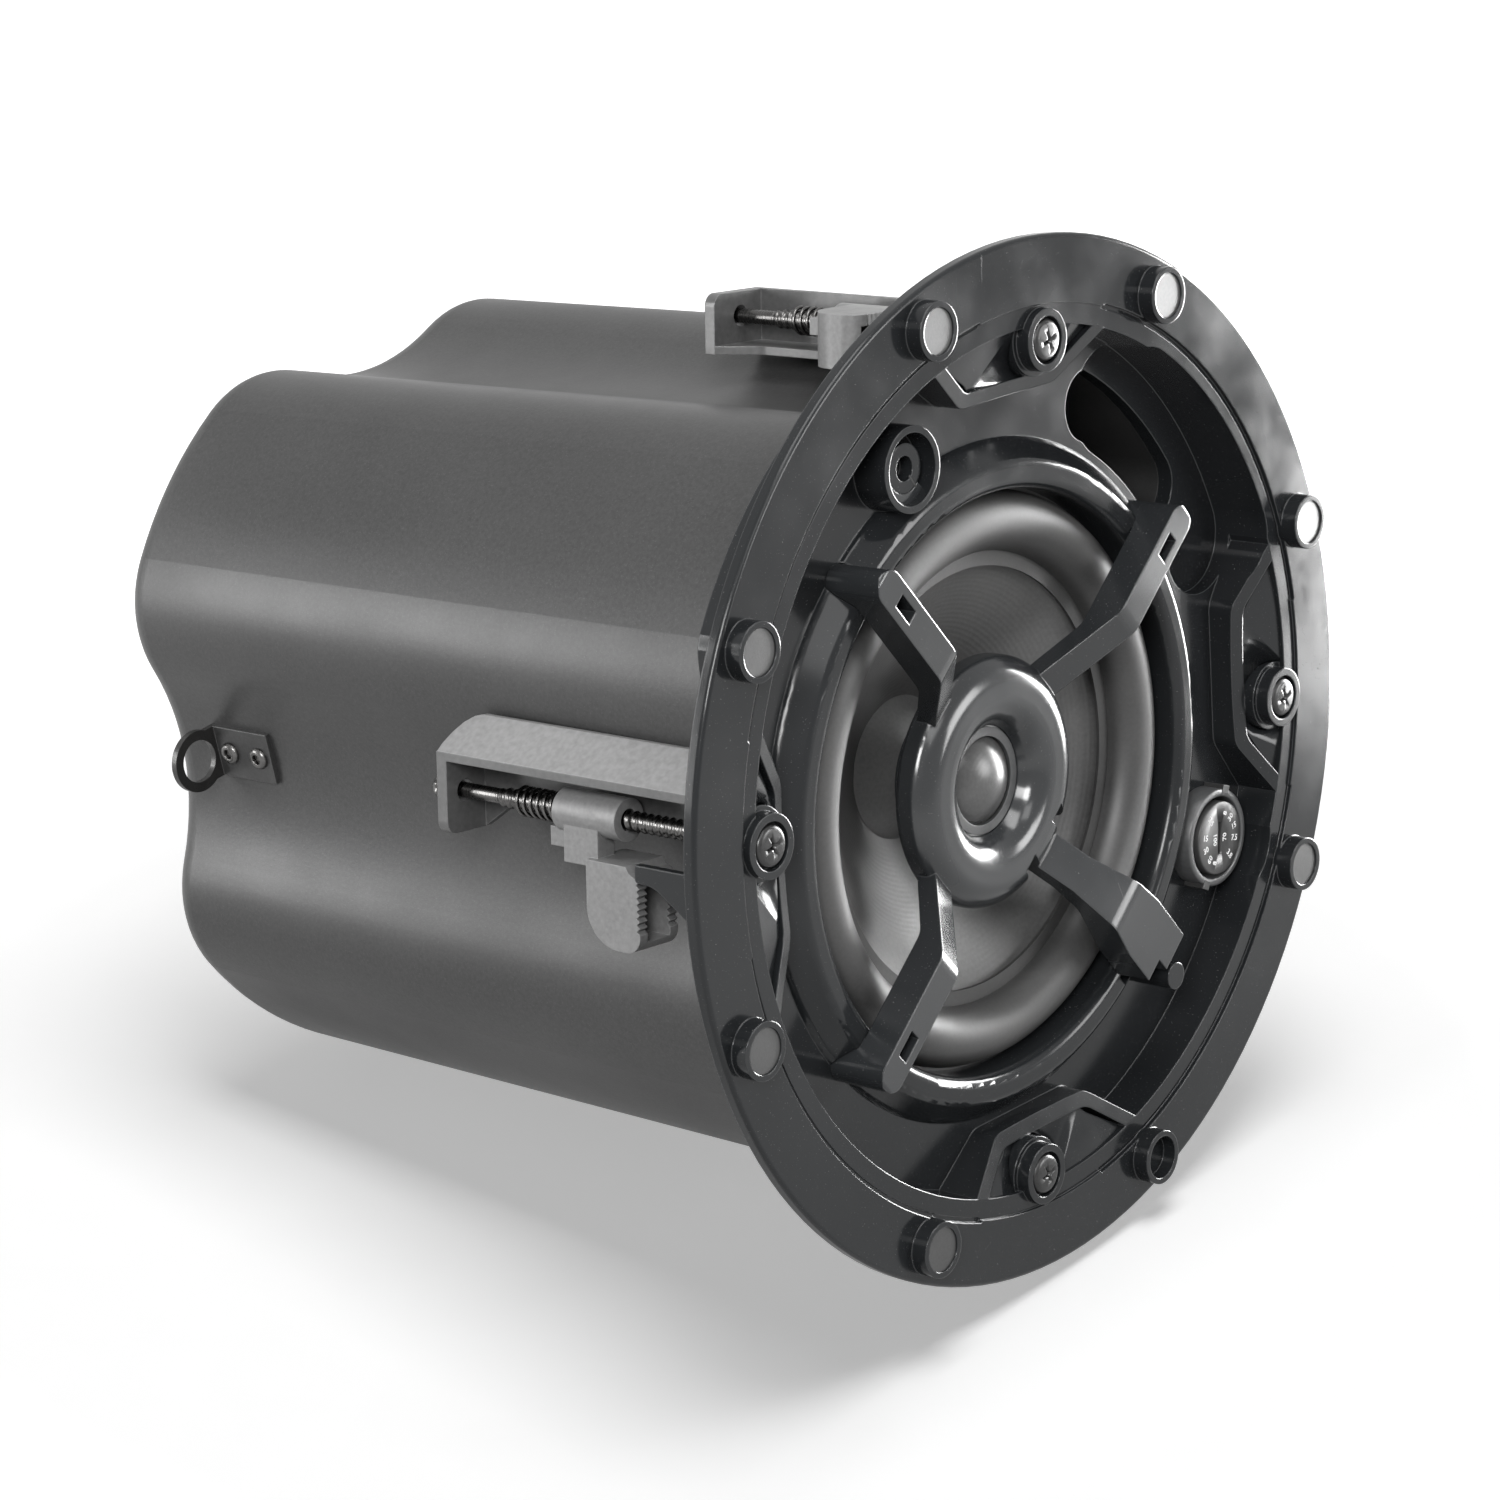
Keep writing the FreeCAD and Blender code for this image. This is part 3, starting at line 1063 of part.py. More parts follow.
def add_wide_arm(body):
    """The arm that carries the tweeter lead: it widens outward and is notched round the pin."""
    side = new_sketch(body, "YZ_Plane", "WideSide")
    rise, height = dim("arm_rise"), dim("bridge_height")
    elbow, root, end, foot = dim("bridge_elbow"), dim("bridge_root"), dim("wide_end"), dim("post_length")
    under, floor, toe = rise - height, -dim("bowl_depth"), dim("wide_foot")
    draw_outline(side, (
        (-end, floor), (-end, rise, 1), (-elbow, rise, 6), (-root, -dim("hub_rim_depth") + 1),
        (-root, -dim("hub_back_depth") + 1), (-elbow + foot / 2, under, 6), (-end + toe, under),
        (-end + toe, floor)))
    pad(body, side, dim("wide_width"), both=True)
    trim = new_sketch(body, "XY_Plane", "WideTrim", rise + 1)
    narrow, wide = dim("bridge_width") * 0.6, dim("wide_width") / 2
    for sign in (1, -1):
        draw_outline(trim, ((narrow * sign, -root + 5), (wide * 1.2 * sign, -root + 5),
                            (wide * 1.2 * sign, -elbow - foot), (wide * sign, -elbow - foot),
                            (narrow * sign, -root - foot)))
    pocket(body, trim)
    notch = new_sketch(body, "XY_Plane", "WideNotch", rise + 1)
    half = dim("wide_width") / 2
    draw_box(notch, -half - 1, -half + dim("notch_width"), -end - 1, -end + dim("notch_length"))
    pocket(body, notch)


def make_tweeter():
    """Dome, ring and magnet of the tweeter in the hub."""
    seat = -dim("hub_throat_depth")
    ring, dome = dim("ring_radius"), dim("dome_radius")
    turned("dome_ring", ((dome, seat - dim("ring_height")), (ring, seat - dim("ring_height")), (ring, seat),
                         (dome, seat)), DRIVER)
    rise, radius = dim("dome_rise").value, dim("dome_radius").value
    sphere = (radius ** 2 + rise ** 2) / (2 * rise)
    foot = FRONT.value + seat.value - dim("ring_height").value
    centre = Vector(DRIVER[0].value, DRIVER[1].value, foot + rise - sphere)
    shell = Part.makeSphere(sphere, centre).cut(Part.makeSphere(sphere - dim("dome_sheet").value, centre))
    above = Part.makeCylinder(radius * 2, sphere * 2, centre + Vector(0, 0, sphere - rise))
    kept("tweeter_dome", shell.common(above))
    top = seat - dim("ring_height")
    turned("tweeter_magnet", ((0, top - dim("motor_length")), (dim("motor_radius"), top - dim("motor_length")),
                              (dim("motor_radius"), top), (0, top)), DRIVER)


def make_selector():
    """The tap selector: ring with two keys, slotted dial and the switch behind the floor."""
    place = polar(dim("dial_circle"), dim("dial_bearing"))
    floor, height = -dim("bowl_depth"), dim("bezel_height")
    inner, outer = dim("dial_radius") + dim("bezel_gap"), dim("bezel_radius")
    ring = new_body("dial_ring")
    section = new_sketch(ring, "XZ_Plane", "DialRingSection")
    draw_outline(section, ((inner, floor), (outer, floor), (outer, floor + height), (inner, floor + height)))
    revolve(ring, section)
    key = new_sketch(ring, "XY_Plane", "DialRingKey", floor)
    half = dim("bezel_key") / 2
    draw_box(key, -half, half, outer - 0.6, outer + 1.2)
    around(ring, [pad(ring, key, height * 0.8)], 2)
    move(ring, place[0], place[1], FRONT, turn=dim("dial_bearing"))
    dial = new_body("tap_dial")
    face = floor + height - 0.8
    disc = new_sketch(dial, "XZ_Plane", "DialSection")
    stem, back = dim("dial_stem_radius"), face - dim("dial_thickness")
    draw_outline(disc, ((0, back - dim("dial_stem_length")), (stem, back - dim("dial_stem_length")), (stem, back),
                        (dim("dial_radius"), back), (dim("dial_radius"), face), (0, face)))
    revolve(dial, disc)
    slot = new_sketch(dial, "XY_Plane", "DialSlot", face)
    half_width, half_length = dim("dial_slot_width") / 2, dim("dial_slot_length") / 2
    draw_box(slot, -half_width, half_width, -half_length, half_length)
    pocket(dial, slot, dim("dial_thickness") * 0.5)
    move(dial, place[0], place[1], FRONT)
    switch = new_body("tap_switch")
    block = new_sketch(switch, "XY_Plane", "SwitchBlock", -dim("skirt_depth") - dim("switch_depth"))
    half, near = dim("switch_side") / 2, dim("switch_edge")
    far = near - dim("switch_side")
    draw_outline(block, ((far, -half, 2), (near, -half, 2), (near, half, 2), (far, half, 2)))
    pad(switch, block, dim("switch_depth"))
    hole = new_sketch(switch, "XY_Plane", "SwitchHole", -dim("skirt_depth") - dim("switch_depth"))
    draw_circle(hole, stem + dim("running_gap"))
    pocket(switch, hole, upwards=True)
    move(switch, place[0], place[1], FRONT, turn=dim("dial_bearing"))


def make_channel(name, bearing):
    """One clamp channel: side wall, base, rear plate with its web, and front plate."""
    body = new_body(f"clamp_channel_{name}")
    circle = dim("clamp_circle")
    wall, side = dim("channel_wall"), -dim("channel_side")
    inner, root = dim("channel_base") - circle, dim("channel_root") - circle
    outer, reach = dim("channel_outer") - circle, -dim("channel_reach")
    roof, skirt = -dim("room_top"), -dim("skirt_depth")
    plate = new_sketch(body, "XZ_Plane", f"Wall{name}", -side - wall)
    draw_outline(plate, ((inner, reach), (outer, reach, 3), (outer, roof), (root, roof), (root, skirt),
                         (inner, skirt)))
    pad(body, plate, wall)
    floor = new_sketch(body, "YZ_Plane", f"Base{name}", inner)
    edge, web = dim("base_edge"), dim("web_radius")
    rear = reach + dim("end_plate") / 2
    draw_outline(floor, ((side, rear), (-side, rear), (-side, reach + dim("end_plate")),
                         (edge, reach + dim("end_plate") + web, web * 0.5), (edge, skirt), (side, skirt)))
    pad(body, floor, wall)
    end = new_sketch(body, "XY_Plane", f"End{name}", reach)
    draw_outline(end, ((inner, side), (outer, side), (outer, -side, 3), (inner, -side)))
    pad(body, end, dim("end_plate"))
    front = new_sketch(body, "XY_Plane", f"Front{name}", roof - dim("front_plate"))
    draw_box(front, root, outer, side, dim("guide_edge"))
    pad(body, front, dim("front_plate"))
    bore = new_sketch(body, "XY_Plane", f"Bore{name}", 0)
    draw_circle(bore, dim("shank_radius") + dim("running_gap"))
    pocket(body, bore)
    move(body, *polar(circle, bearing), FRONT, turn=bearing)


def make_screw(name, bearing):
    """One clamp screw: pan head, long shank and domed tip."""
    head, shank = dim("head_radius"), dim("shank_radius")
    seat = -dim("head_sink")
    top, tip, reach = seat + dim("head_height"), dim("tip_radius"), -dim("channel_reach") - 0.2
    low, chamfer = reach - tip * 2, dim("head_chamfer")
    turned(f"clamp_screw_{name}", (
        (0, low), (tip * 0.6, low), (tip, low + tip * 0.7), (tip, reach), (shank, reach), (shank, seat), (head, seat),
        (head, top - chamfer), (head - chamfer, top), (0, top)), polar(dim("clamp_circle"), bearing))


def make_spring(name, bearing):
    """The short spring on the screw behind the barrel, as a plain sleeve."""
    outer = dim("spring_radius")
    inner = outer - dim("spring_wall")
    top = -dim("barrel_rear") - dim("spring_gap")
    low = top - dim("spring_length")
    turned(f"clamp_spring_{name}", ((inner, low), (outer, low), (outer, top), (inner, top)),
           polar(dim("clamp_circle"), bearing))


def arm_profile(sketch):
    """Side view of a dog-leg's arm: round heel and a toothed front edge."""
    near, far = dim("arm_start"), dim("arm_end")
    front, rear = -dim("arm_front"), -dim("arm_front") - dim("arm_depth")
    corners = [(near, rear), (far, rear, dim("arm_heel")), (far, front, dim("arm_toe"))]
    count = int(dim("tooth_count").value)
    first, last = near + 3, far - dim("arm_toe") - 0.5
    pitch = (last - first) / count
    for index in range(count):
        corners.append((last - pitch * index, front))
        corners.append((last - pitch * (index + 0.5), front - dim("tooth_height")))
    corners += [(first, front), (near + 1.5, front - 3), (near, front - 4)]
    draw_outline(sketch, tuple(corners))


def make_dog_leg(name, bearing):
    """One dog-leg: barrel, neck, toothed hollow arm and stop lug."""
    body = new_body(f"dog_leg_{name}")
    rear, length = -dim("barrel_rear"), dim("barrel_length")
    barrel = new_sketch(body, "XY_Plane", f"Barrel{name}", rear)
    draw_circle(barrel, dim("barrel_radius"))
    pad(body, barrel, length)
    neck = new_sketch(body, "YZ_Plane", f"Neck{name}", dim("barrel_radius") - dim("neck_wall") - 0.6)
    low = -dim("neck_front") - dim("neck_depth")
    draw_box(neck, 0, dim("arm_start") + 2, low, low + dim("neck_depth"))
    pad(body, neck, dim("neck_wall"))
    arm = new_sketch(body, "YZ_Plane", f"Arm{name}", -dim("arm_inner"))
    arm_profile(arm)
    pad(body, arm, dim("arm_inner") + dim("arm_outer"))
    hollow = new_sketch(body, "YZ_Plane", f"Hollow{name}", -dim("arm_inner") + dim("arm_wall"))
    wall = dim("arm_wall")
    front, back = -dim("arm_front"), -dim("arm_front") - dim("arm_depth")
    draw_outline(hollow, ((dim("arm_start") + wall, back + wall), (dim("arm_end") - wall, back + wall, 6),
                          (dim("arm_end") - wall, front + 1), (dim("arm_start") + wall, front + 1)))
    pocket(body, hollow, dim("arm_inner") + dim("arm_outer") - wall * 2, upwards=True)
    lug = new_sketch(body, "XY_Plane", f"Lug{name}", rear - dim("lug_length") * 0.75)
    draw_box(lug, -2, 2, dim("barrel_radius") - 1, dim("arm_start") - 0.5)
    pad(body, lug, dim("lug_length"))
    bore = new_sketch(body, "XY_Plane", f"DogBore{name}", rear + length)
    draw_circle(bore, dim("shank_radius") + dim("running_gap"))
    pocket(body, bore)
    move(body, *polar(dim("clamp_circle"), bearing), FRONT, turn=bearing)


def make_clamps():
    """Four clamps, a quarter turn apart."""
    for index, name in enumerate(CLAMPS):
        bearing = as_size(QUARTER * index)
        make_channel(name, bearing)
        make_screw(name, bearing)
        make_spring(name, bearing)
        make_dog_leg(name, bearing)


def can_solid():
    """The outside of the can as a plain solid, to seat pieces on its curved wall."""
    return doc.getObject("CanRearEdge").Shape.copy()


def make_loop(name, bearing):
    """A safety loop: a plate riveted into the hollow of a valley, with its ring bent outward."""
    sheet_size, width, length = (dim(alias).value for alias in ("loop_sheet", "loop_plate_width", "loop_plate_length"))
    low = dim("overall_depth").value - dim("loop_height").value
    curve = dim("can_valley_curve").value - (low + length / 2) * math.tan(math.radians(dim("can_draft").value))
    pit = at(dim("can_valley").value + dim("can_valley_curve").value, dim("valley_turn").value)
    lean = math.degrees(math.asin((pit.y - dim("loop_shift").value) / curve))
    sunk = (width / 2) ** 2 / curve
    plate = Part.makeBox(sheet_size + sunk, width, length, Vector(-sunk, -width / 2, 0))
    reach = dim("loop_ring_reach").value
    leg = Part.makeBox(reach + sunk, width, sheet_size, Vector(-sunk, -width / 2, 0))
    ring = Part.makeCylinder(dim("loop_ring_radius").value, sheet_size, Vector(reach, 0, 0))
    hole = Part.makeCylinder(dim("loop_hole_radius").value, sheet_size, Vector(reach, 0, 0))
    shape = plate.fuse([leg, ring]).cut(hole)
    heads = []
    for step in (-1, 1):
        place = Vector(sheet_size, 0, length * 0.55 + step * dim("rivet_spacing").value / 2)
        heads.append(Part.makeCylinder(dim("rivet_radius").value, dim("rivet_rise").value, place, Vector(1, 0, 0)))
    for piece in [shape] + heads:
        piece.rotate(Vector(), Vector(0, 0, 1), lean)
        piece.translate(pit - at(curve, lean) + Vector(0, 0, low))
        piece.rotate(Vector(), Vector(0, 0, 1), bearing)
    solids = sorted(shape.cut(can_solid()).removeSplitter().Solids, key=lambda solid: solid.Volume)
    kept(f"safety_loop_{name}", solids[-1])
    return heads


def make_loops():
    heads = []
    for name, bearing in (("west", HALF_TURN), ("south", HALF_TURN + QUARTER)):
        heads += make_loop(name, bearing)
    kept("loop_rivets", Part.Compound(heads))


def make_terminal_box():
    """The wiring box in the valley that the photograph hides: box, cover, screws and cord grip."""
    turn = dim("valley_turn").value
    length, width = dim("box_length").value, dim("box_width").value
    low = (dim("overall_depth") - dim("channel_reach") - dim("box_gap")).value - length
    outer, inner = dim("box_outer").value, dim("can_valley").value - 2
    block = Part.makeBox(outer - inner, width, length, Vector(inner, -width / 2, low))
    wall = dim("can_wall").value
    block = block.makeFillet(3, [edge for edge in block.Edges
                                 if abs(edge.BoundBox.XMin - outer) > 1 and edge.BoundBox.XLength > 5])
    block.rotate(Vector(), Vector(0, 0, 1), turn)
    hollow = Part.makeBox(outer - inner, width - wall * 2, length - wall * 2,
                          Vector(inner, -width / 2 + wall, low + wall))
    hollow.rotate(Vector(), Vector(0, 0, 1), turn)
    bore = Part.makeCylinder(dim("gland_bore").value + 2, wall * 2, Vector(outer - 9, 0, low - wall / 2))
    bore.rotate(Vector(), Vector(0, 0, 1), turn)
    shape = block.cut([can_solid(), hollow, bore])
    kept("terminal_box", sorted(shape.Solids, key=lambda solid: solid.Volume)[-1])
    cover = Part.makeBox(dim("cover_sheet").value, width, length, Vector(outer, -width / 2, low))
    cover.rotate(Vector(), Vector(0, 0, 1), turn)
    kept("terminal_cover", cover)
    heads = []
    for side in (-1, 1):
        base = Vector(outer + dim("cover_sheet").value, side * (width / 2 - 5), low + length / 2)
        head = Part.makeCylinder(3, 1.8, base, Vector(1, 0, 0))
        head.rotate(Vector(), Vector(0, 0, 1), turn)
        heads.append(head)
    kept("cover_screws", Part.Compound(heads))
    nut = Part.makeCylinder(dim("gland_radius").value, dim("gland_length").value,
                            Vector(outer - 9, 0, low - dim("gland_length").value))
    nut = nut.cut(Part.makeCylinder(dim("gland_bore").value, dim("gland_length").value,
                                    Vector(outer - 9, 0, low - dim("gland_length").value)))
    nut.rotate(Vector(), Vector(0, 0, 1), turn)
    kept("cord_grip", nut)


def make_electrics():
    """Transformer on the floor of the can and the crossover board over it."""
    wall = dim("can_wall").value
    length, width, height = (dim(alias).value for alias in ("core_length", "core_width", "core_height"))
    core = doc.addObject("Part::Box", "transformer_core")
    for place, alias in (("Length", "core_length"), ("Width", "core_width"), ("Height", "core_height")):
        bind(core, place, dim(alias))
    core.Placement = Placement(Vector(-length / 2, -width / 2, wall), Rotation())
    bind(core, ".Placement.Base.z", dim("can_wall"))
    over = dim("coil_overhang").value
    coil = Part.makeBox(length * 0.5, over, height * 0.8, Vector(-length * 0.25, width / 2, wall + height * 0.1))
    other = coil.mirror(Vector(), Vector(0, 1, 0))
    kept("transformer_winding", Part.Compound([coil, other]))
    z = dim("board_height").value
    half_length, half_width = dim("board_length").value / 2, dim("board_width").value / 2
    kept("crossover_board", Part.makeBox(half_length * 2, half_width * 2, dim("board_sheet").value,
                                         Vector(-half_length, -half_width, z)))
    pillars = []
    for x in (-1, 1):
        for y in (-1, 1):
            base = Vector(x * (half_length - 5), y * (half_width - 5), wall)
            pillars.append(Part.makeCylinder(dim("pillar_radius").value, z - wall, base))
    kept("board_pillars", Part.Compound(pillars))


def write_parts():
    """Check every object, then write one file per sub-part."""
    doc.recompute()
    for thing in doc.Objects:
        if "Invalid" in thing.State or "Error" in thing.State:
            raise RuntimeError(f"{thing.Name} did not build: {thing.State}")
    os.makedirs("parts", exist_ok=True)
    for thing in doc.Objects:
        top = thing.TypeId in ("PartDesign::Body", "Part::Feature", "Part::Box")
        if not top:
            continue
        shape = thing.Shape
        if shape.isNull() or not shape.isValid():
            raise RuntimeError(f"{thing.Label} has no valid shape")
        shape.exportStep(f"parts/{thing.Label}.step")
        print(thing.Label, len(shape.Solids), round(shape.Volume / 1000, 2), "cm3")


make_can()
make_baffle()
make_port_duct()
make_magnets()
make_driver_frame()
make_woofer()
make_bridge()
make_tweeter()
make_selector()
make_clamps()
doc.recompute()
make_loops()
make_terminal_box()
make_electrics()
write_parts()
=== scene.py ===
"""Finishes, fine detail, floor, lights and camera for a packed in-ceiling loudspeaker.

Everything is in metres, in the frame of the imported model: Z is the speaker's axis and points
out of the front, X points at one clamp screw and Y at the next.
"""

import logging
import math
from dataclasses import dataclass, field
from enum import Enum

import bmesh
import bpy
from mathutils import Matrix, Vector

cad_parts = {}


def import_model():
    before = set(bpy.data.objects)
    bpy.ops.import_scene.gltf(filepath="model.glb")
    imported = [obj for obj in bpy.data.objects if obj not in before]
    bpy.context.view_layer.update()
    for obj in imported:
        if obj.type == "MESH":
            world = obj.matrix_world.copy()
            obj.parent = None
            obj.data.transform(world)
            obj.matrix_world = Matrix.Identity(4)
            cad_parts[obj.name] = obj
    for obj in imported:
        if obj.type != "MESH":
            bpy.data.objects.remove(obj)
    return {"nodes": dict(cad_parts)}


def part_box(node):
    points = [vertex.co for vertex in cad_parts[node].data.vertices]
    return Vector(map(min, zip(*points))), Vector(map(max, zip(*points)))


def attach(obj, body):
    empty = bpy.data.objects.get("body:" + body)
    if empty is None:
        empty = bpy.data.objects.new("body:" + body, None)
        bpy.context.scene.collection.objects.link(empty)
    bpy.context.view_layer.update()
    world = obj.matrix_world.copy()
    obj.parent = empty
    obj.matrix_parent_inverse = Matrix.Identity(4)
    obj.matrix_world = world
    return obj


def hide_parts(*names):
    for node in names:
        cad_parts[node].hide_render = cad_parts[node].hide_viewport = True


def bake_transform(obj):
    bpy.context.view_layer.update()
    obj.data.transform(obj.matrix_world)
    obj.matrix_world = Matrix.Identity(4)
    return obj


Socket = bpy.types.NodeSocket
Node = bpy.types.Node
Tree = bpy.types.NodeTree
Object = bpy.types.Object
Material = bpy.types.Material
Form = bmesh.types.BMesh
Colour = tuple[float, float, float, float]
Ring = list[Vector]
Profile = list[tuple[float, float]]

LOG = logging.getLogger("ceiling_speaker")
MM = 0.001
FRONT = 209 * MM
DRIVER = Vector((-4.6 * MM, -4.6 * MM, 0.0))
CLAMP_CIRCLE = 97.4 * MM


def polar(radius: float, turn: float, height: float = 0.0) -> Vector:
    """A point given by its distance from the Z axis, its turn in radians and its height."""
    return Vector((radius * math.cos(turn), radius * math.sin(turn), height))


def planar(radius: float, bearing: float) -> Vector:
    """A point or direction at height zero, given by its distance from the axis and its bearing in degrees."""
    return polar(radius, math.radians(bearing))


def raised(height: float) -> Vector:
    """A step of that height along the speaker's axis."""
    return Vector((0.0, 0.0, height))


DIAL_CENTRE = planar(87 * MM, -22.5)
CUP_CENTRE = planar(85 * MM, 120.6)
LOOP_LEAN = 14.2


class Clamp(Enum):
    """The four clamps, each with the bearing of its screw in degrees."""

    EAST = 0
    NORTH = 90
    WEST = 180
    SOUTH = 270

    @property
    def word(self) -> str:
        """The clamp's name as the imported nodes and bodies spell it."""
        return self.name.lower()

    @property
    def screw(self) -> Vector:
        """A point on the axis of the clamp's screw, at height zero."""
        return planar(CLAMP_CIRCLE, self.value)


# ---------------------------------------------------------------- shader bench


class Bench:
    """A node tree that is being wired up."""

    def __init__(self, tree: Tree) -> None:
        """Starts on an empty tree."""
        self.tree = tree
        self.tree.nodes.clear()

    def add(self, kind: str, inputs: dict | None = None, **settings: object) -> Node:
        """Adds a node.

        Args:
            kind: Type of the node, as Blender names it.
            inputs: Value or socket for each named or numbered input.
            settings: Properties of the node itself.

        Returns:
            The new node.
        """
        node = self.tree.nodes.new(kind)
        for name, value in settings.items():
            setattr(node, name, value)
        for name, value in (inputs or {}).items():
            if isinstance(value, Socket):
                self.tree.links.new(value, node.inputs[name])
            else:
                node.inputs[name].default_value = value
        return node

    def place(self) -> Socket:
        """The point that is shaded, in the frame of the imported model."""
        return self.add("ShaderNodeTexCoord").outputs["Object"]

    def noise(self, place: Socket, scale: float, detail: float = 2.0, roughness: float = 0.5) -> Socket:
        """The value of a noise of that many features per metre."""
        settings = {"Vector": place, "Scale": scale, "Detail": detail, "Roughness": roughness}
        return self.add("ShaderNodeTexNoise", settings).outputs["Fac"]

    def spread(self, value: Socket, low: float, high: float, to_low: float = 0.0, to_high: float = 1.0) -> Socket:
        """Maps a value from one span to another, held at the ends."""
        spans = {"Value": value, "From Min": low, "From Max": high, "To Min": to_low, "To Max": to_high}
        return self.add("ShaderNodeMapRange", spans).outputs["Result"]

    def sum(self, operation: str, first: object, second: object) -> Socket:
        """The result of one arithmetic step."""
        return self.add("ShaderNodeMath", {0: first, 1: second}, operation=operation).outputs[0]

    def waves(self, along: Socket, pitch: float) -> Socket:
        """Even waves from -1 to 1, one to a pitch."""
        return self.sum("SINE", self.sum("MULTIPLY", along, 2 * math.pi / pitch), 0.0)

    def feed(self, shader: Node, colour: Socket, roughness: Socket) -> None:
        """Feeds a colour and a roughness to the shader."""
        self.tree.links.new(colour, shader.inputs["Base Color"])
        self.tree.links.new(roughness, shader.inputs["Roughness"])

    def blend(self, factor: object, first: object, second: object) -> Socket:
        """A colour between two colours.

        Args:
            factor: Share of the second colour.
            first: The first colour or its socket.
            second: The second colour or its socket.

        Returns:
            The colour between them.
        """
        node = self.add("ShaderNodeMix", data_type="RGBA")
        for socket, value in ((node.inputs[0], factor), (node.inputs[6], first), (node.inputs[7], second)):
            if isinstance(value, Socket):
                self.tree.links.new(value, socket)
            else:
                socket.default_value = value
        return node.outputs[2]

    def tint(self, mask: Socket, share: float, under: object, over: object) -> Socket:
        """A colour laid over another where the mask is, by no more than the share."""
        return self.blend(self.sum("MULTIPLY", mask, share), under, over)


def grey(level: float, warmth: float = 0.0) -> Colour:
    """A nearly neutral colour, a little warmer or cooler."""
    return (level * (1 + warmth), level, level * (1 - warmth), 1.0)


def new_group(name: str, inputs: dict[str, float], outputs: dict[str, str]) -> tuple[Tree, Bench]:
    """Makes an empty shader group.

    Args:
        name: Name of the group.
        inputs: Each input's name with its value at the start.
        outputs: Each output's name with its socket type.

    Returns:
        The group and a bench on it, with its two end nodes not yet placed.
    """
    tree = bpy.data.node_groups.new(name, "ShaderNodeTree")
    for label, value in inputs.items():
        socket = tree.interface.new_socket(label, in_out="INPUT", socket_type="NodeSocketFloat")
        socket.default_value = value
    for label, kind in outputs.items():
        tree.interface.new_socket(label, in_out="OUTPUT", socket_type=kind)
    return tree, Bench(tree)


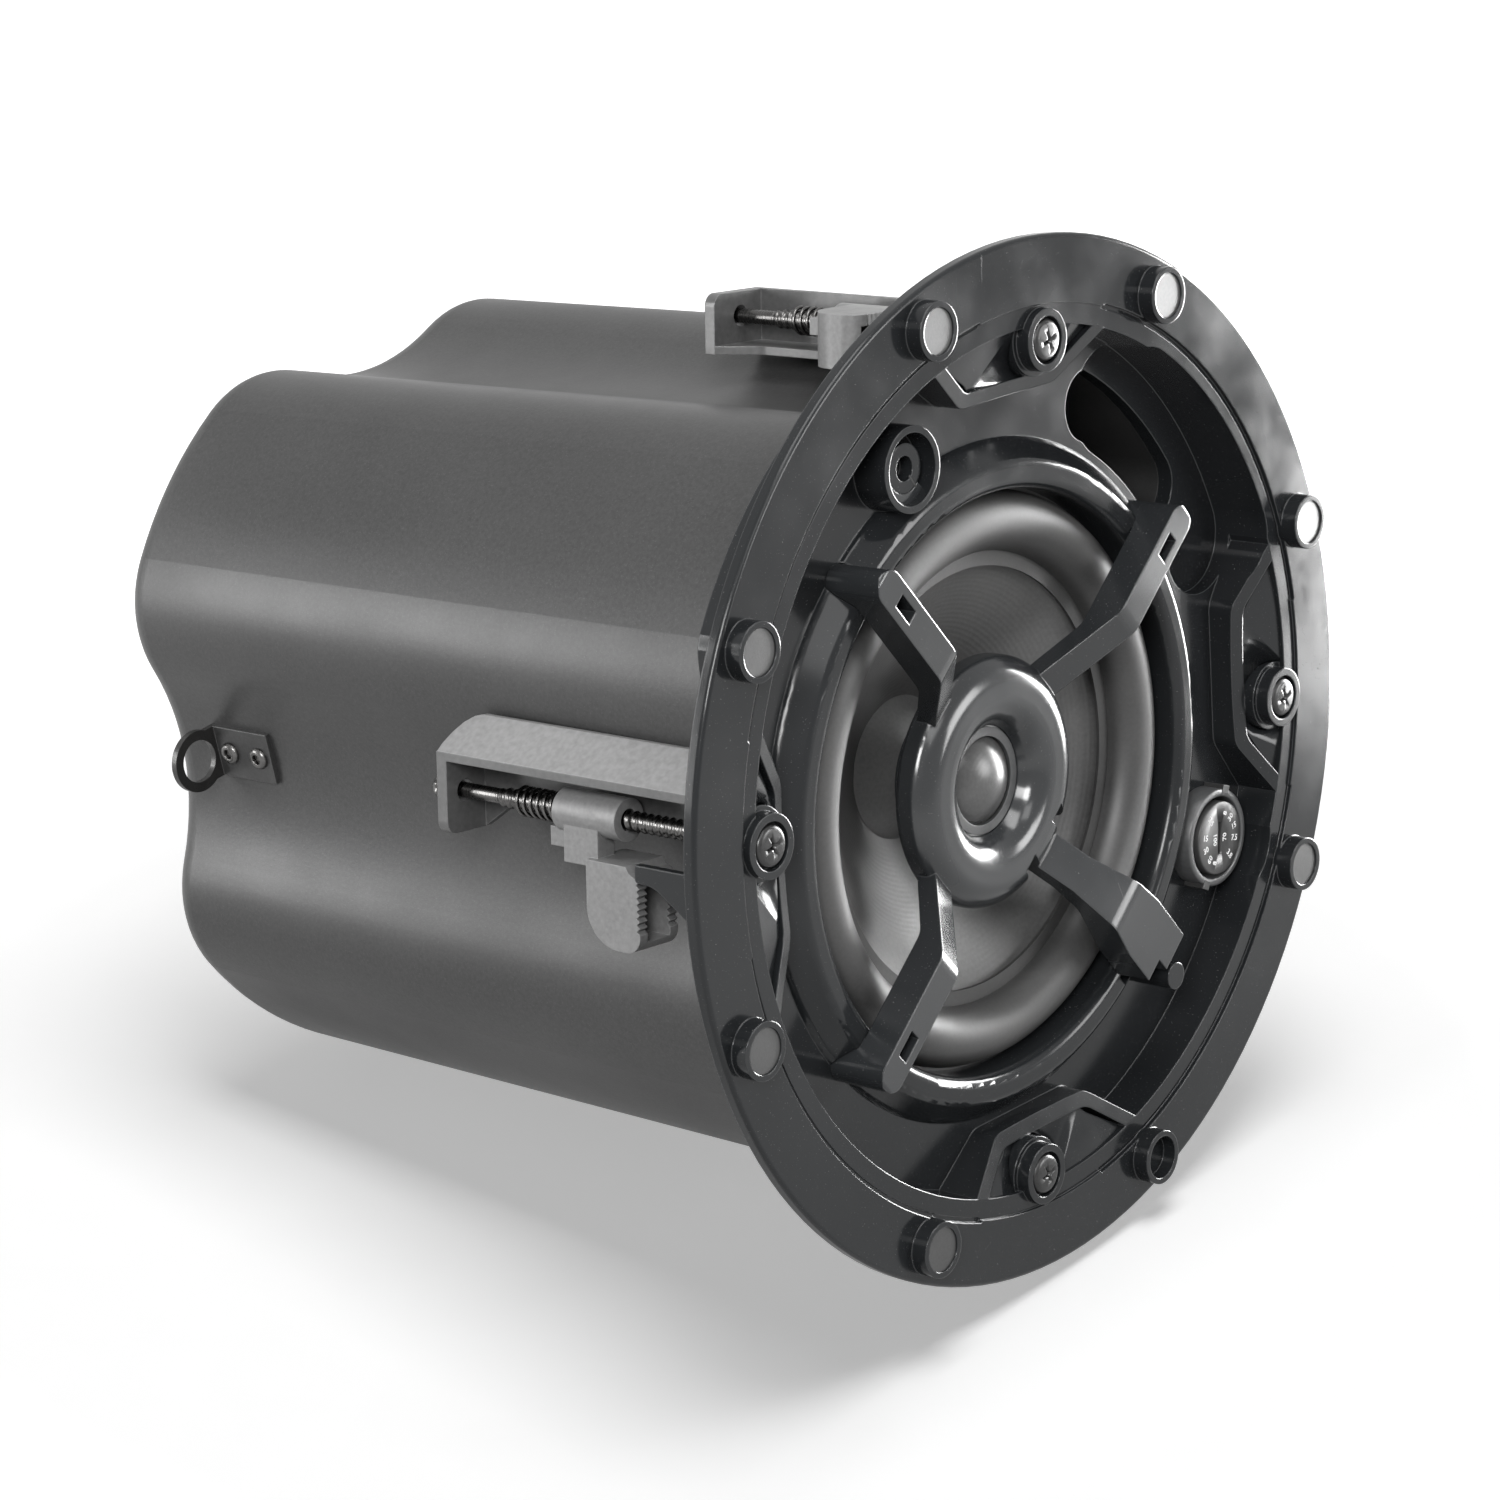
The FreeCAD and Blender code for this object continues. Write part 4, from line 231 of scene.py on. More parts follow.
class Effects:
    """The shader groups that several finishes share, each built once."""

    def __init__(self) -> None:
        """Builds all groups."""
        self.grain = self.make_grain()
        self.edges = self.make_edges()
        self.handling = self.make_handling()
        self.skin = self.make_skin()

    @staticmethod
    def make_grain() -> Tree:
        """Fine grain of a powder coat or of matt moulded plastic: height, tone and pale specks.

        Returns:
            The group.
        """
        outputs = dict.fromkeys(("Height", "Tone", "Specks"), "NodeSocketFloat")
        tree, bench = new_group("fine_grain", {"Scale": 1800.0, "Speck": 0.62}, outputs)
        ends = bench.add("NodeGroupInput")
        place = bench.place()
        fine = bench.noise(place, 1.0, 2.0, 0.6)
        coarse = bench.noise(place, 1.0, 1.0, 0.5)
        cloud = bench.noise(place, 14.0, 3.0, 0.55)
        grain, clump = fine.node, coarse.node
        tree.links.new(ends.outputs["Scale"], grain.inputs["Scale"])
        tree.links.new(bench.sum("MULTIPLY", ends.outputs["Scale"], 0.42), clump.inputs["Scale"])
        height = bench.sum("ADD", bench.sum("MULTIPLY", fine, 0.6), bench.sum("MULTIPLY", coarse, 0.4))
        tone = bench.sum("ADD", bench.sum("MULTIPLY", coarse, 0.5), bench.sum("MULTIPLY", cloud, 0.5))
        specks = bench.spread(fine, 0.62, 0.74)
        tree.links.new(ends.outputs["Speck"], specks.node.inputs["From Min"])
        bench.add("NodeGroupOutput", {"Height": height, "Tone": tone, "Specks": specks})
        return tree

    @staticmethod
    def make_edges() -> Tree:
        """Moulded edges: a normal that rounds each sharp edge, and a mask of those edges.

        Returns:
            The group.
        """
        outputs = {"Normal": "NodeSocketVector", "Edge": "NodeSocketFloat"}
        tree, bench = new_group("soft_edges", {"Radius": 0.0004}, outputs)
        ends = bench.add("NodeGroupInput")
        rounded = bench.add("ShaderNodeBevel", {"Radius": ends.outputs["Radius"]}, samples=6)
        plain = bench.add("ShaderNodeNewGeometry").outputs["Normal"]
        likeness = bench.add("ShaderNodeVectorMath", {0: rounded.outputs[0], 1: plain}, operation="DOT_PRODUCT")
        edge = bench.spread(likeness.outputs["Value"], 0.995, 0.86)
        bench.add("NodeGroupOutput", {"Normal": rounded.outputs[0], "Edge": edge})
        return tree

    @staticmethod
    def make_handling() -> Tree:
        """Marks of handling: broad smudges, hair scratches and a little dust.

        Returns:
            The group.
        """
        outputs = dict.fromkeys(("Smudge", "Scratch", "Dust"), "NodeSocketFloat")
        tree, bench = new_group("handling_marks", {"Scale": 30.0}, outputs)
        ends = bench.add("NodeGroupInput")
        place = bench.place()
        smudge = bench.noise(place, 30.0, 4.0, 0.6)
        tree.links.new(ends.outputs["Scale"], smudge.node.inputs["Scale"])
        hairs = {"Vector": place, "Rotation": (0.3, 0.2, 0.9), "Scale": (900.0, 24.0, 40.0)}
        stretched = bench.add("ShaderNodeMapping", hairs)
        scratch = bench.spread(bench.noise(stretched.outputs[0], 1.0, 1.0, 0.5), 0.7, 0.78)
        patch = bench.spread(bench.noise(place, 26.0, 1.0), 0.52, 0.66)
        dust = bench.spread(bench.noise(place, 2600.0, 1.0), 0.72, 0.8)
        smudge = bench.spread(smudge, 0.35, 0.7)
        scratch = bench.sum("MULTIPLY", scratch, patch)
        bench.add("NodeGroupOutput", {"Smudge": smudge, "Scratch": scratch, "Dust": dust})
        return tree

    @staticmethod
    def make_skin() -> Tree:
        """Faint waves that a gloss moulding shows, and the flow of the melt as a slow change of tone.

        Returns:
            The group.
        """
        outputs = dict.fromkeys(("Height", "Flow"), "NodeSocketFloat")
        tree, bench = new_group("mould_skin", {"Scale": 220.0}, outputs)
        ends = bench.add("NodeGroupInput")
        place = bench.place()
        wave = bench.noise(place, 220.0, 1.0, 0.4)
        tree.links.new(ends.outputs["Scale"], wave.node.inputs["Scale"])
        slow = bench.noise(place, 9.0, 2.0, 0.5)
        height = bench.sum("ADD", wave, bench.sum("MULTIPLY", slow, 2.0))
        bench.add("NodeGroupOutput", {"Height": height, "Flow": slow})
        return tree


# ---------------------------------------------------------------- finishes


@dataclass(frozen=True)
class Finish:
    """What every finish has: a name and a colour."""

    name: str
    colour: Colour

    def build(self, effects: Effects) -> Material:
        """Makes the material.

        Args:
            effects: The shared shader groups.

        Returns:
            The material, with its shader and output wired up.
        """
        material = bpy.data.materials.new(self.name)
        material.use_nodes = True
        bench = Bench(material.node_tree)
        shader = bench.add("ShaderNodeBsdfPrincipled")
        bench.add("ShaderNodeOutputMaterial", {"Surface": shader.outputs[0]})
        material.diffuse_color = self.colour
        self.wire(bench, shader, effects)
        return material

    def shade(self, factor: float, lift: float = 0.0) -> Colour:
        """The finish's colour made darker or lighter."""
        return tuple(min(1.0, part * factor + lift) for part in self.colour[:3]) + (1.0,)

    def wire(self, bench: Bench, shader: Node, effects: Effects) -> None:
        """Wires the finish to its shader."""
        raise NotImplementedError


def put(bench: Bench, tree: Tree, **inputs: float) -> bpy.types.NodeOutputs:
    """Places a shader group with its own values and gives its outputs."""
    return bench.add("ShaderNodeGroup", inputs, node_tree=tree).outputs


def raise_surface(
    bench: Bench, shader: Node, height: Socket, distance: float, strength: float = 1.0, normal: Socket | None = None
) -> None:
    """Feeds a height through a bump node to the shader.

    Args:
        bench: Bench on the material's nodes.
        shader: The Principled shader.
        height: The height that is raised.
        distance: Reach of the full height.
        strength: Share of the bump that shows.
        normal: The normal that is bumped, if not the surface's own.
    """
    inputs = {"Height": height, "Distance": distance, "Strength": strength}
    if normal is not None:
        inputs["Normal"] = normal
    bump = bench.add("ShaderNodeBump", inputs)
    bench.tree.links.new(bump.outputs[0], shader.inputs["Normal"])


@dataclass(frozen=True)
class GlossMoulding(Finish):
    """Smoky black plastic with a moulded gloss, smudged by hands."""

    gloss: float = 0.1
    dull: float = 0.24
    edge_radius: float = 0.0005
    sheen: float = 0.24

    def wire(self, bench: Bench, shader: Node, effects: Effects) -> None:
        """Wires the finish to its shader.

        Args:
            bench: Bench on the material's nodes.
            shader: The Principled shader.
            effects: The shared shader groups.
        """
        skin = put(bench, effects.skin, Scale=190.0)
        marks = put(bench, effects.handling, Scale=34.0)
        edges = put(bench, effects.edges, Radius=self.edge_radius)
        tone = bench.blend(skin["Flow"], self.colour, self.shade(1.9, 0.004))
        rubbed = bench.tint(edges["Edge"], 0.35, tone, grey(0.09, -0.03))
        dusty = bench.tint(marks["Dust"], 0.25, rubbed, grey(0.35, 0.02))
        smudged = bench.spread(marks["Smudge"], 0, 1, self.gloss, self.dull)
        worn = bench.sum("MAXIMUM", smudged, bench.sum("MULTIPLY", marks["Scratch"], 0.5))
        shader.inputs["Specular IOR Level"].default_value = self.sheen
        bench.feed(shader, dusty, worn)
        raise_surface(bench, shader, skin["Height"], 0.00002, 0.6, edges["Normal"])


@dataclass(frozen=True)
class PowderCoat(Finish):
    """Dark grey powder coat of fine grain on sheet steel."""

    roughness: float = 0.4
    grain: float = 2600.0
    depth: float = 0.00005

    def wire(self, bench: Bench, shader: Node, effects: Effects) -> None:
        """Wires the finish to its shader.

        Args:
            bench: Bench on the material's nodes.
            shader: The Principled shader.
            effects: The shared shader groups.
        """
        grain = put(bench, effects.grain, Scale=self.grain, Speck=0.6)
        marks = put(bench, effects.handling, Scale=12.0)
        edges = put(bench, effects.edges, Radius=0.0004)
        mottled = bench.spread(grain["Tone"], 0.3, 0.7)
        tone = bench.blend(mottled, self.shade(0.72), self.shade(1.28))
        specked = bench.tint(grain["Specks"], 0.5, tone, grey(self.colour[0] * 2.6))
        rubbed = bench.tint(edges["Edge"], 0.3, specked, grey(0.2))
        rough = bench.spread(marks["Smudge"], 0, 1, self.roughness - 0.05, self.roughness + 0.06)
        shader.inputs["Specular IOR Level"].default_value = 0.32
        bench.feed(shader, rubbed, rough)
        raise_surface(bench, shader, grain["Height"], self.depth, 0.7, edges["Normal"])


@dataclass(frozen=True)
class MattMoulding(Finish):
    """Glass-filled or plain matt plastic with a light grain."""

    roughness: float = 0.5
    grain: float = 2200.0
    depth: float = 0.00005
    edge_radius: float = 0.0003

    def wire(self, bench: Bench, shader: Node, effects: Effects) -> None:
        """Wires the finish to its shader.

        Args:
            bench: Bench on the material's nodes.
            shader: The Principled shader.
            effects: The shared shader groups.
        """
        grain = put(bench, effects.grain, Scale=self.grain, Speck=0.66)
        marks = put(bench, effects.handling, Scale=60.0)
        edges = put(bench, effects.edges, Radius=self.edge_radius)
        pale = self.shade(1.7, 0.02)
        mottled = bench.spread(grain["Tone"], 0.3, 0.7)
        tone = bench.blend(mottled, self.shade(0.78), self.shade(1.22))
        rubbed = bench.tint(edges["Edge"], 0.5, tone, pale)
        scuffed = bench.tint(marks["Scratch"], 0.35, rubbed, pale)
        rough = bench.spread(marks["Smudge"], 0, 1, self.roughness - 0.06, self.roughness + 0.08)
        bench.feed(shader, scuffed, rough)
        raise_surface(bench, shader, grain["Height"], self.depth, 0.6, edges["Normal"])


@dataclass(frozen=True)
class Ringed(Finish):
    """A diaphragm or surround: rings about the driver's axis, with a bloom of dust."""

    centre: tuple[float, float, float] = (DRIVER.x, DRIVER.y, 0.0)
    roughness: float = 0.45
    pitch: float = 0.0012
    depth: float = 0.00003
    dust: float = 0.1

    def wire(self, bench: Bench, shader: Node, effects: Effects) -> None:
        """Wires the finish to its shader.

        Args:
            bench: Bench on the material's nodes.
            shader: The Principled shader.
            effects: The shared shader groups.
        """
        place = bench.place()
        from_axis = bench.add("ShaderNodeVectorMath", {0: place, 1: self.centre}, operation="SUBTRACT")
        flat = bench.add("ShaderNodeVectorMath", {0: from_axis.outputs[0], 1: (1.0, 1.0, 0.0)}, operation="MULTIPLY")
        radius = bench.add("ShaderNodeVectorMath", {0: flat.outputs[0]}, operation="LENGTH").outputs["Value"]
        rings = bench.waves(radius, self.pitch)
        grain = put(bench, effects.grain, Scale=2600.0, Speck=0.64)
        marks = put(bench, effects.handling, Scale=22.0)
        mottled = bench.spread(grain["Tone"], 0.3, 0.7)
        tone = bench.blend(mottled, self.colour, self.shade(1.5, 0.004))
        bloom = bench.tint(marks["Smudge"], self.dust, tone, grey(0.3, 0.03))
        rough = bench.spread(marks["Smudge"], 0, 1, self.roughness - 0.06, self.roughness + 0.1)
        bench.feed(shader, bloom, rough)
        height = bench.sum("ADD", rings, bench.sum("MULTIPLY", grain["Height"], 1.5))
        raise_surface(bench, shader, height, self.depth, 0.5)


class Lay(Enum):
    """How the marks of a metal's making lie."""

    ROLLED = (1.0, 1.0, 0.05)
    TURNED = (0.08, 0.08, 1.0)
    CAST = (1.0, 1.0, 1.0)


@dataclass(frozen=True)
class Metal(Finish):
    """Plated or bare metal with fine marks of its making and a few tarnished spots."""

    roughness: float = 0.3
    lay: Lay = Lay.CAST
    metallic: float = 1.0

    def wire(self, bench: Bench, shader: Node, effects: Effects) -> None:
        """Wires the finish to its shader.

        Args:
            bench: Bench on the material's nodes.
            shader: The Principled shader.
            effects: The shared shader groups.
        """
        place = bench.place()
        drawn = bench.add("ShaderNodeMapping", {"Vector": place, "Scale": self.lay.value})
        lines = bench.noise(drawn.outputs[0], 4200.0, 2.0, 0.6)
        marks = put(bench, effects.handling, Scale=90.0)
        edges = put(bench, effects.edges, Radius=0.00025)
        tone = bench.blend(bench.spread(marks["Smudge"], 0.5, 1.0), self.colour, self.shade(0.6))
        rubbed = bench.tint(edges["Edge"], 0.6, tone, self.shade(1.35, 0.02))
        rough = bench.spread(lines, 0.3, 0.7, self.roughness - 0.08, self.roughness + 0.12)
        shader.inputs["Metallic"].default_value = self.metallic
        bench.feed(shader, rubbed, rough)
        raise_surface(bench, shader, lines, 0.00002, 0.5, edges["Normal"])


@dataclass(frozen=True)
class Winding(Finish):
    """Turns of enamelled wire, wound about an axis along Z."""

    pitch: float = 0.0004

    def wire(self, bench: Bench, shader: Node, effects: Effects) -> None:
        """Wires the finish to its shader.

        Args:
            bench: Bench on the material's nodes.
            shader: The Principled shader.
            effects: The shared shader groups.
        """
        place = bench.place()
        height = bench.add("ShaderNodeSeparateXYZ", {0: place}).outputs["Z"]
        turns = bench.waves(height, self.pitch)
        marks = put(bench, effects.handling, Scale=120.0)
        # Painted shade: darker in the grooves between the turns.
        tone = bench.blend(bench.spread(turns, -1.0, 0.4), self.shade(0.35), self.colour)
        bench.feed(shader, tone, bench.spread(marks["Smudge"], 0, 1, 0.2, 0.4))
        shader.inputs["Metallic"].default_value = 0.8
        raise_surface(bench, shader, turns, 0.00008)


@dataclass(frozen=True)
class WovenCloth(Finish):
    """Stiffened open cloth of the spider."""

    pitch: float = 0.0008

    def wire(self, bench: Bench, shader: Node, effects: Effects) -> None:
        """Wires the finish to its shader.

        Args:
            bench: Bench on the material's nodes.
            shader: The Principled shader.
            effects: The shared shader groups.
        """
        place = bench.place()
        parts = bench.add("ShaderNodeSeparateXYZ", {0: place})
        warp = bench.waves(parts.outputs["X"], self.pitch)
        weft = bench.waves(parts.outputs["Y"], self.pitch)
        weave = bench.sum("MULTIPLY", warp, weft)
        grain = put(bench, effects.grain, Scale=3000.0, Speck=0.7)
        tone = bench.blend(bench.spread(weave, -0.8, 0.6), self.shade(0.45), self.colour)
        varied = bench.tint(grain["Tone"], 0.3, tone, grey(0.5, 0.2))
        bench.feed(shader, varied, bench.spread(grain["Tone"], 0, 1, 0.7, 0.9))
        raise_surface(bench, shader, weave, 0.0001)


@dataclass(frozen=True)
class CircuitBoard(Finish):
    """Green laminate with tinned tracks and pads."""

    def wire(self, bench: Bench, shader: Node, effects: Effects) -> None:
        """Wires the finish to its shader.

        Args:
            bench: Bench on the material's nodes.
            shader: The Principled shader.
            effects: The shared shader groups.
        """
        place = bench.place()
        cells = bench.add("ShaderNodeTexVoronoi", {"Vector": place, "Scale": 160.0}, distance="CHEBYCHEV", feature="F1")
        track = bench.spread(cells.outputs["Distance"], 0.34, 0.3)
        dots = bench.add("ShaderNodeTexVoronoi", {"Vector": place, "Scale": 260.0})
        pad = bench.spread(dots.outputs["Distance"], 0.16, 0.12)
        grain = put(bench, effects.grain, Scale=1400.0, Speck=0.7)
        tone = bench.tint(track, 0.6, self.colour, self.shade(1.7))
        tinned = bench.blend(pad, tone, (0.6, 0.6, 0.58, 1.0))
        bench.feed(shader, tinned, bench.spread(grain["Tone"], 0, 1, 0.3, 0.5))
        raise_surface(bench, shader, bench.sum("ADD", track, pad), 0.00005)


@dataclass(frozen=True)
class Ink(Finish):
    """Pale print, worn a little thin."""

    def wire(self, bench: Bench, shader: Node, effects: Effects) -> None:
        """Wires the finish to its shader.

        Args:
            bench: Bench on the material's nodes.
            shader: The Principled shader.
            effects: The shared shader groups.
        """
        grain = put(bench, effects.grain, Scale=3800.0, Speck=0.7)
        tone = bench.blend(bench.spread(grain["Tone"], 0.32, 0.55), self.shade(0.5), self.colour)
        bench.feed(shader, tone, bench.spread(grain["Tone"], 0, 1, 0.5, 0.7))
        raise_surface(bench, shader, grain["Height"], 0.00002)


FINISHES: dict[str, Finish] = {
    finish.name: finish
    for finish in (
        GlossMoulding("gloss_baffle", grey(0.007, -0.1)),
        # Painted light: the bridge is the baffle's gloss black made lighter to stand in for the light on the hub.
        GlossMoulding("gloss_bridge", grey(0.012, -0.08), gloss=0.13, edge_radius=0.0006, sheen=0.5),
        PowderCoat("can_coat", grey(0.032)),
        PowderCoat("box_coat", grey(0.034)),
        MattMoulding("clamp_plastic", grey(0.14), roughness=0.4),
        # Painted light and shade: flank and channel are of one plastic, the flank's copy lighter as painted light, the
        # channel's darker as painted shade.
        MattMoulding("flank_plastic", grey(0.18), roughness=0.34, grain=1700.0),
        MattMoulding("channel_plastic", grey(0.07), roughness=0.34, grain=1700.0),
        MattMoulding("inner_plastic", grey(0.012), roughness=0.55),
        MattMoulding("ring_plastic", grey(0.05, -0.02), roughness=0.35),
        MattMoulding("dial_plastic", grey(0.025), roughness=0.4),
        MattMoulding("magnet_cap", grey(0.028), roughness=0.4, grain=3200.0),
        PowderCoat("frame_paint", grey(0.02), roughness=0.4),
        Ringed("surround_rubber", grey(0.014), roughness=0.5, pitch=0.004, depth=0.00001, dust=0.06),
        Ringed("cone_skin", grey(0.038), roughness=0.5, pitch=0.0011, depth=0.00002, dust=0.1),
        Ringed("cap_skin", grey(0.05), roughness=0.45, pitch=0.0016, depth=0.00001, dust=0.08),
        Ringed("dome_skin", grey(0.04), roughness=0.3, pitch=0.0009, depth=0.000006, dust=0.05),
        Metal("former_foil", grey(0.7), roughness=0.25, lay=Lay.ROLLED),
        Winding("copper_winding", (0.7, 0.32, 0.14, 1.0)),
        WovenCloth("spider_cloth", (0.62, 0.4, 0.13, 1.0)),
        Metal("zinc_plate", grey(0.62), roughness=0.34, lay=Lay.TURNED),
        Metal("ferrite", grey(0.09), roughness=0.5, lay=Lay.CAST, metallic=0.3),
        # Painted shade: the near-black finish of the safety loops' leg and ring.
        Metal("black_steel", grey(0.02, 0.02), roughness=0.34, lay=Lay.ROLLED, metallic=0.3),
        Metal("screw_steel", grey(0.09, 0.02), roughness=0.24, lay=Lay.TURNED),
        Metal("head_steel", grey(0.03), roughness=0.3, lay=Lay.TURNED, metallic=0.6),
        Metal("spring_wire", grey(0.1, 0.02), roughness=0.2, lay=Lay.CAST),
        Metal("rivet_steel", grey(0.11, 0.02), roughness=0.3, lay=Lay.TURNED),
        MattMoulding("nylon", grey(0.03), roughness=0.4),
        CircuitBoard("board", (0.03, 0.16, 0.06, 1.0)),
        Ink("dial_print", grey(0.75)),
    )
}

NODES_IN: dict[str, tuple[str, ...]] = {
    "gloss_baffle": ("baffle",),
    # Painted light: the bridge gets the lighter copy of the gloss black.
    "gloss_bridge": ("tweeter_bridge",),
    "can_coat": ("back_can",),
    "magnet_cap": ("grille_magnets",),
    "inner_plastic": ("port_duct", "tap_switch"),
    "frame_paint": ("driver_frame",),
    "cone_skin": ("cone",),
    "cap_skin": ("dust_cap",),
    "dome_skin": ("tweeter_dome",),
    "ring_plastic": ("dome_ring", "dial_ring"),
    "dial_plastic": ("tap_dial",),
    "former_foil": ("voice_coil",),
    "copper_winding": ("coil_winding", "transformer_winding"),
    "zinc_plate": ("top_plate", "back_plate", "tweeter_magnet", "transformer_core"),
    "ferrite": ("ring_magnet",),
    "board": ("crossover_board",),
    "nylon": ("board_pillars", "cord_grip"),
    "box_coat": ("terminal_box", "terminal_cover"),
    "head_steel": ("cover_screws",),
    # Painted shade: the channels get the darker copy of the clamp's plastic.
    "channel_plastic": tuple(f"clamp_channel_{clamp.word}" for clamp in Clamp),
    "clamp_plastic": tuple(f"dog_leg_{clamp.word}" for clamp in Clamp),
}


class Workshop:
    """Gives out each finish, made when it is first asked for."""

    def __init__(self) -> None:
        """Builds the shared effects."""
        self.effects = Effects()
        self.made: dict[str, Material] = {}

    def finish(self, name: str) -> Material:
        """The material of that finish.

        Args:
            name: Name of the finish.

        Returns:
            Its material.
        """
        if name not in self.made:
            self.made[name] = FINISHES[name].build(self.effects)
        return self.made[name]

    def dress(self, obj: Object, name: str) -> None:
        """Puts one finish on the whole of an object.

        Args:
            obj: The object.
            name: Name of the finish.
        """
        obj.data.materials.clear()
        obj.data.materials.append(self.finish(name))
        LOG.info("%s in %s", obj.name, name)


# ---------------------------------------------------------------- mesh helpers


def add_object(name: str, data: object) -> Object:
    """A new object of the scene with that mesh, curve, camera or lamp.

    Args:
        name: Name of the object.
        data: Its mesh, camera or lamp.

    Returns:
        The new object.
    """
    obj = bpy.data.objects.new(name, data)
    bpy.context.scene.collection.objects.link(obj)
    return obj


def mesh_piece(name: str, form: Form, smooth_below: float = 40.0) -> Object:
    """Turns a bmesh into an object of the scene, smooth but for its sharp edges.

    Args:
        name: Name of the piece.
        form: The mesh, which is freed.
        smooth_below: Edges that turn by more degrees stay sharp.

    Returns:
        The new object.
    """
    bmesh.ops.recalc_face_normals(form, faces=form.faces)
    for edge in form.edges:
        edge.smooth = len(edge.link_faces) == 2 and edge.calc_face_angle(0.0) < math.radians(smooth_below)
    for face in form.faces:
        face.smooth = True
    mesh = bpy.data.meshes.new(name)
    form.to_mesh(mesh)
    form.free()
    return add_object(name, mesh)


def skin_rings(form: Form, rings: list[Ring], capped: bool = True) -> None:
    """Joins rings of points into a surface.

    Args:
        form: The mesh that gets the surface.
        rings: Rings of equally many points, each of which runs round to its start.
        capped: Whether the first and last ring are filled.
    """
    rows = [[form.verts.new(point) for point in ring] for ring in rings]
    count = len(rows[0])
    for low, high in zip(rows, rows[1:]):
        for step in range(count):
            form.faces.new((low[step], low[(step + 1) % count], high[(step + 1) % count], high[step]))
    if capped:
        form.faces.new(rows[0])
        form.faces.new(list(reversed(rows[-1])))


def ring_piece(name: str, *skins: list[Ring], smooth_below: float = 40.0) -> Object:
    """Makes a piece of closed skins.

    Args:
        name: Name of the piece.
        skins: The rings of each skin, filled at both ends.
        smooth_below: Edges that turn by more degrees stay sharp.

    Returns:
        The new object.
    """
    form = bmesh.new()
    for rings in skins:
        skin_rings(form, rings)
    return mesh_piece(name, form, smooth_below)


def turned_rings(profile: Profile, centre: Vector, sides: int) -> list[Ring]:
    """Rings about the Z direction through a centre, one for each radius and height of a profile."""
    turns = [2 * math.pi * step / sides for step in range(sides)]
    return [[centre + polar(radius, turn, height) for turn in turns] for radius, height in profile]


def extruded(outline: Ring, bottom: float, top: float) -> list[Ring]:
    """An outline at two heights."""
    return [[point + raised(level) for point in outline] for level in (bottom, top)]


def cut_away(body: Object, cutter: Object) -> None:
    """Takes a cutter's volume out of a body's mesh and removes the cutter.

    Args:
        body: The object that is cut.
        cutter: The object that is taken out of it.
    """
    modifier = body.modifiers.new("cut", "BOOLEAN")
    modifier.object = cutter
    modifier.solver = "EXACT"
    modifier.use_self = True
    graph = bpy.context.evaluated_depsgraph_get()
    cut = bpy.data.meshes.new_from_object(body.evaluated_get(graph))
    body.modifiers.clear()
    body.data = cut
    bpy.data.objects.remove(cutter)


# ---------------------------------------------------------------- pieces


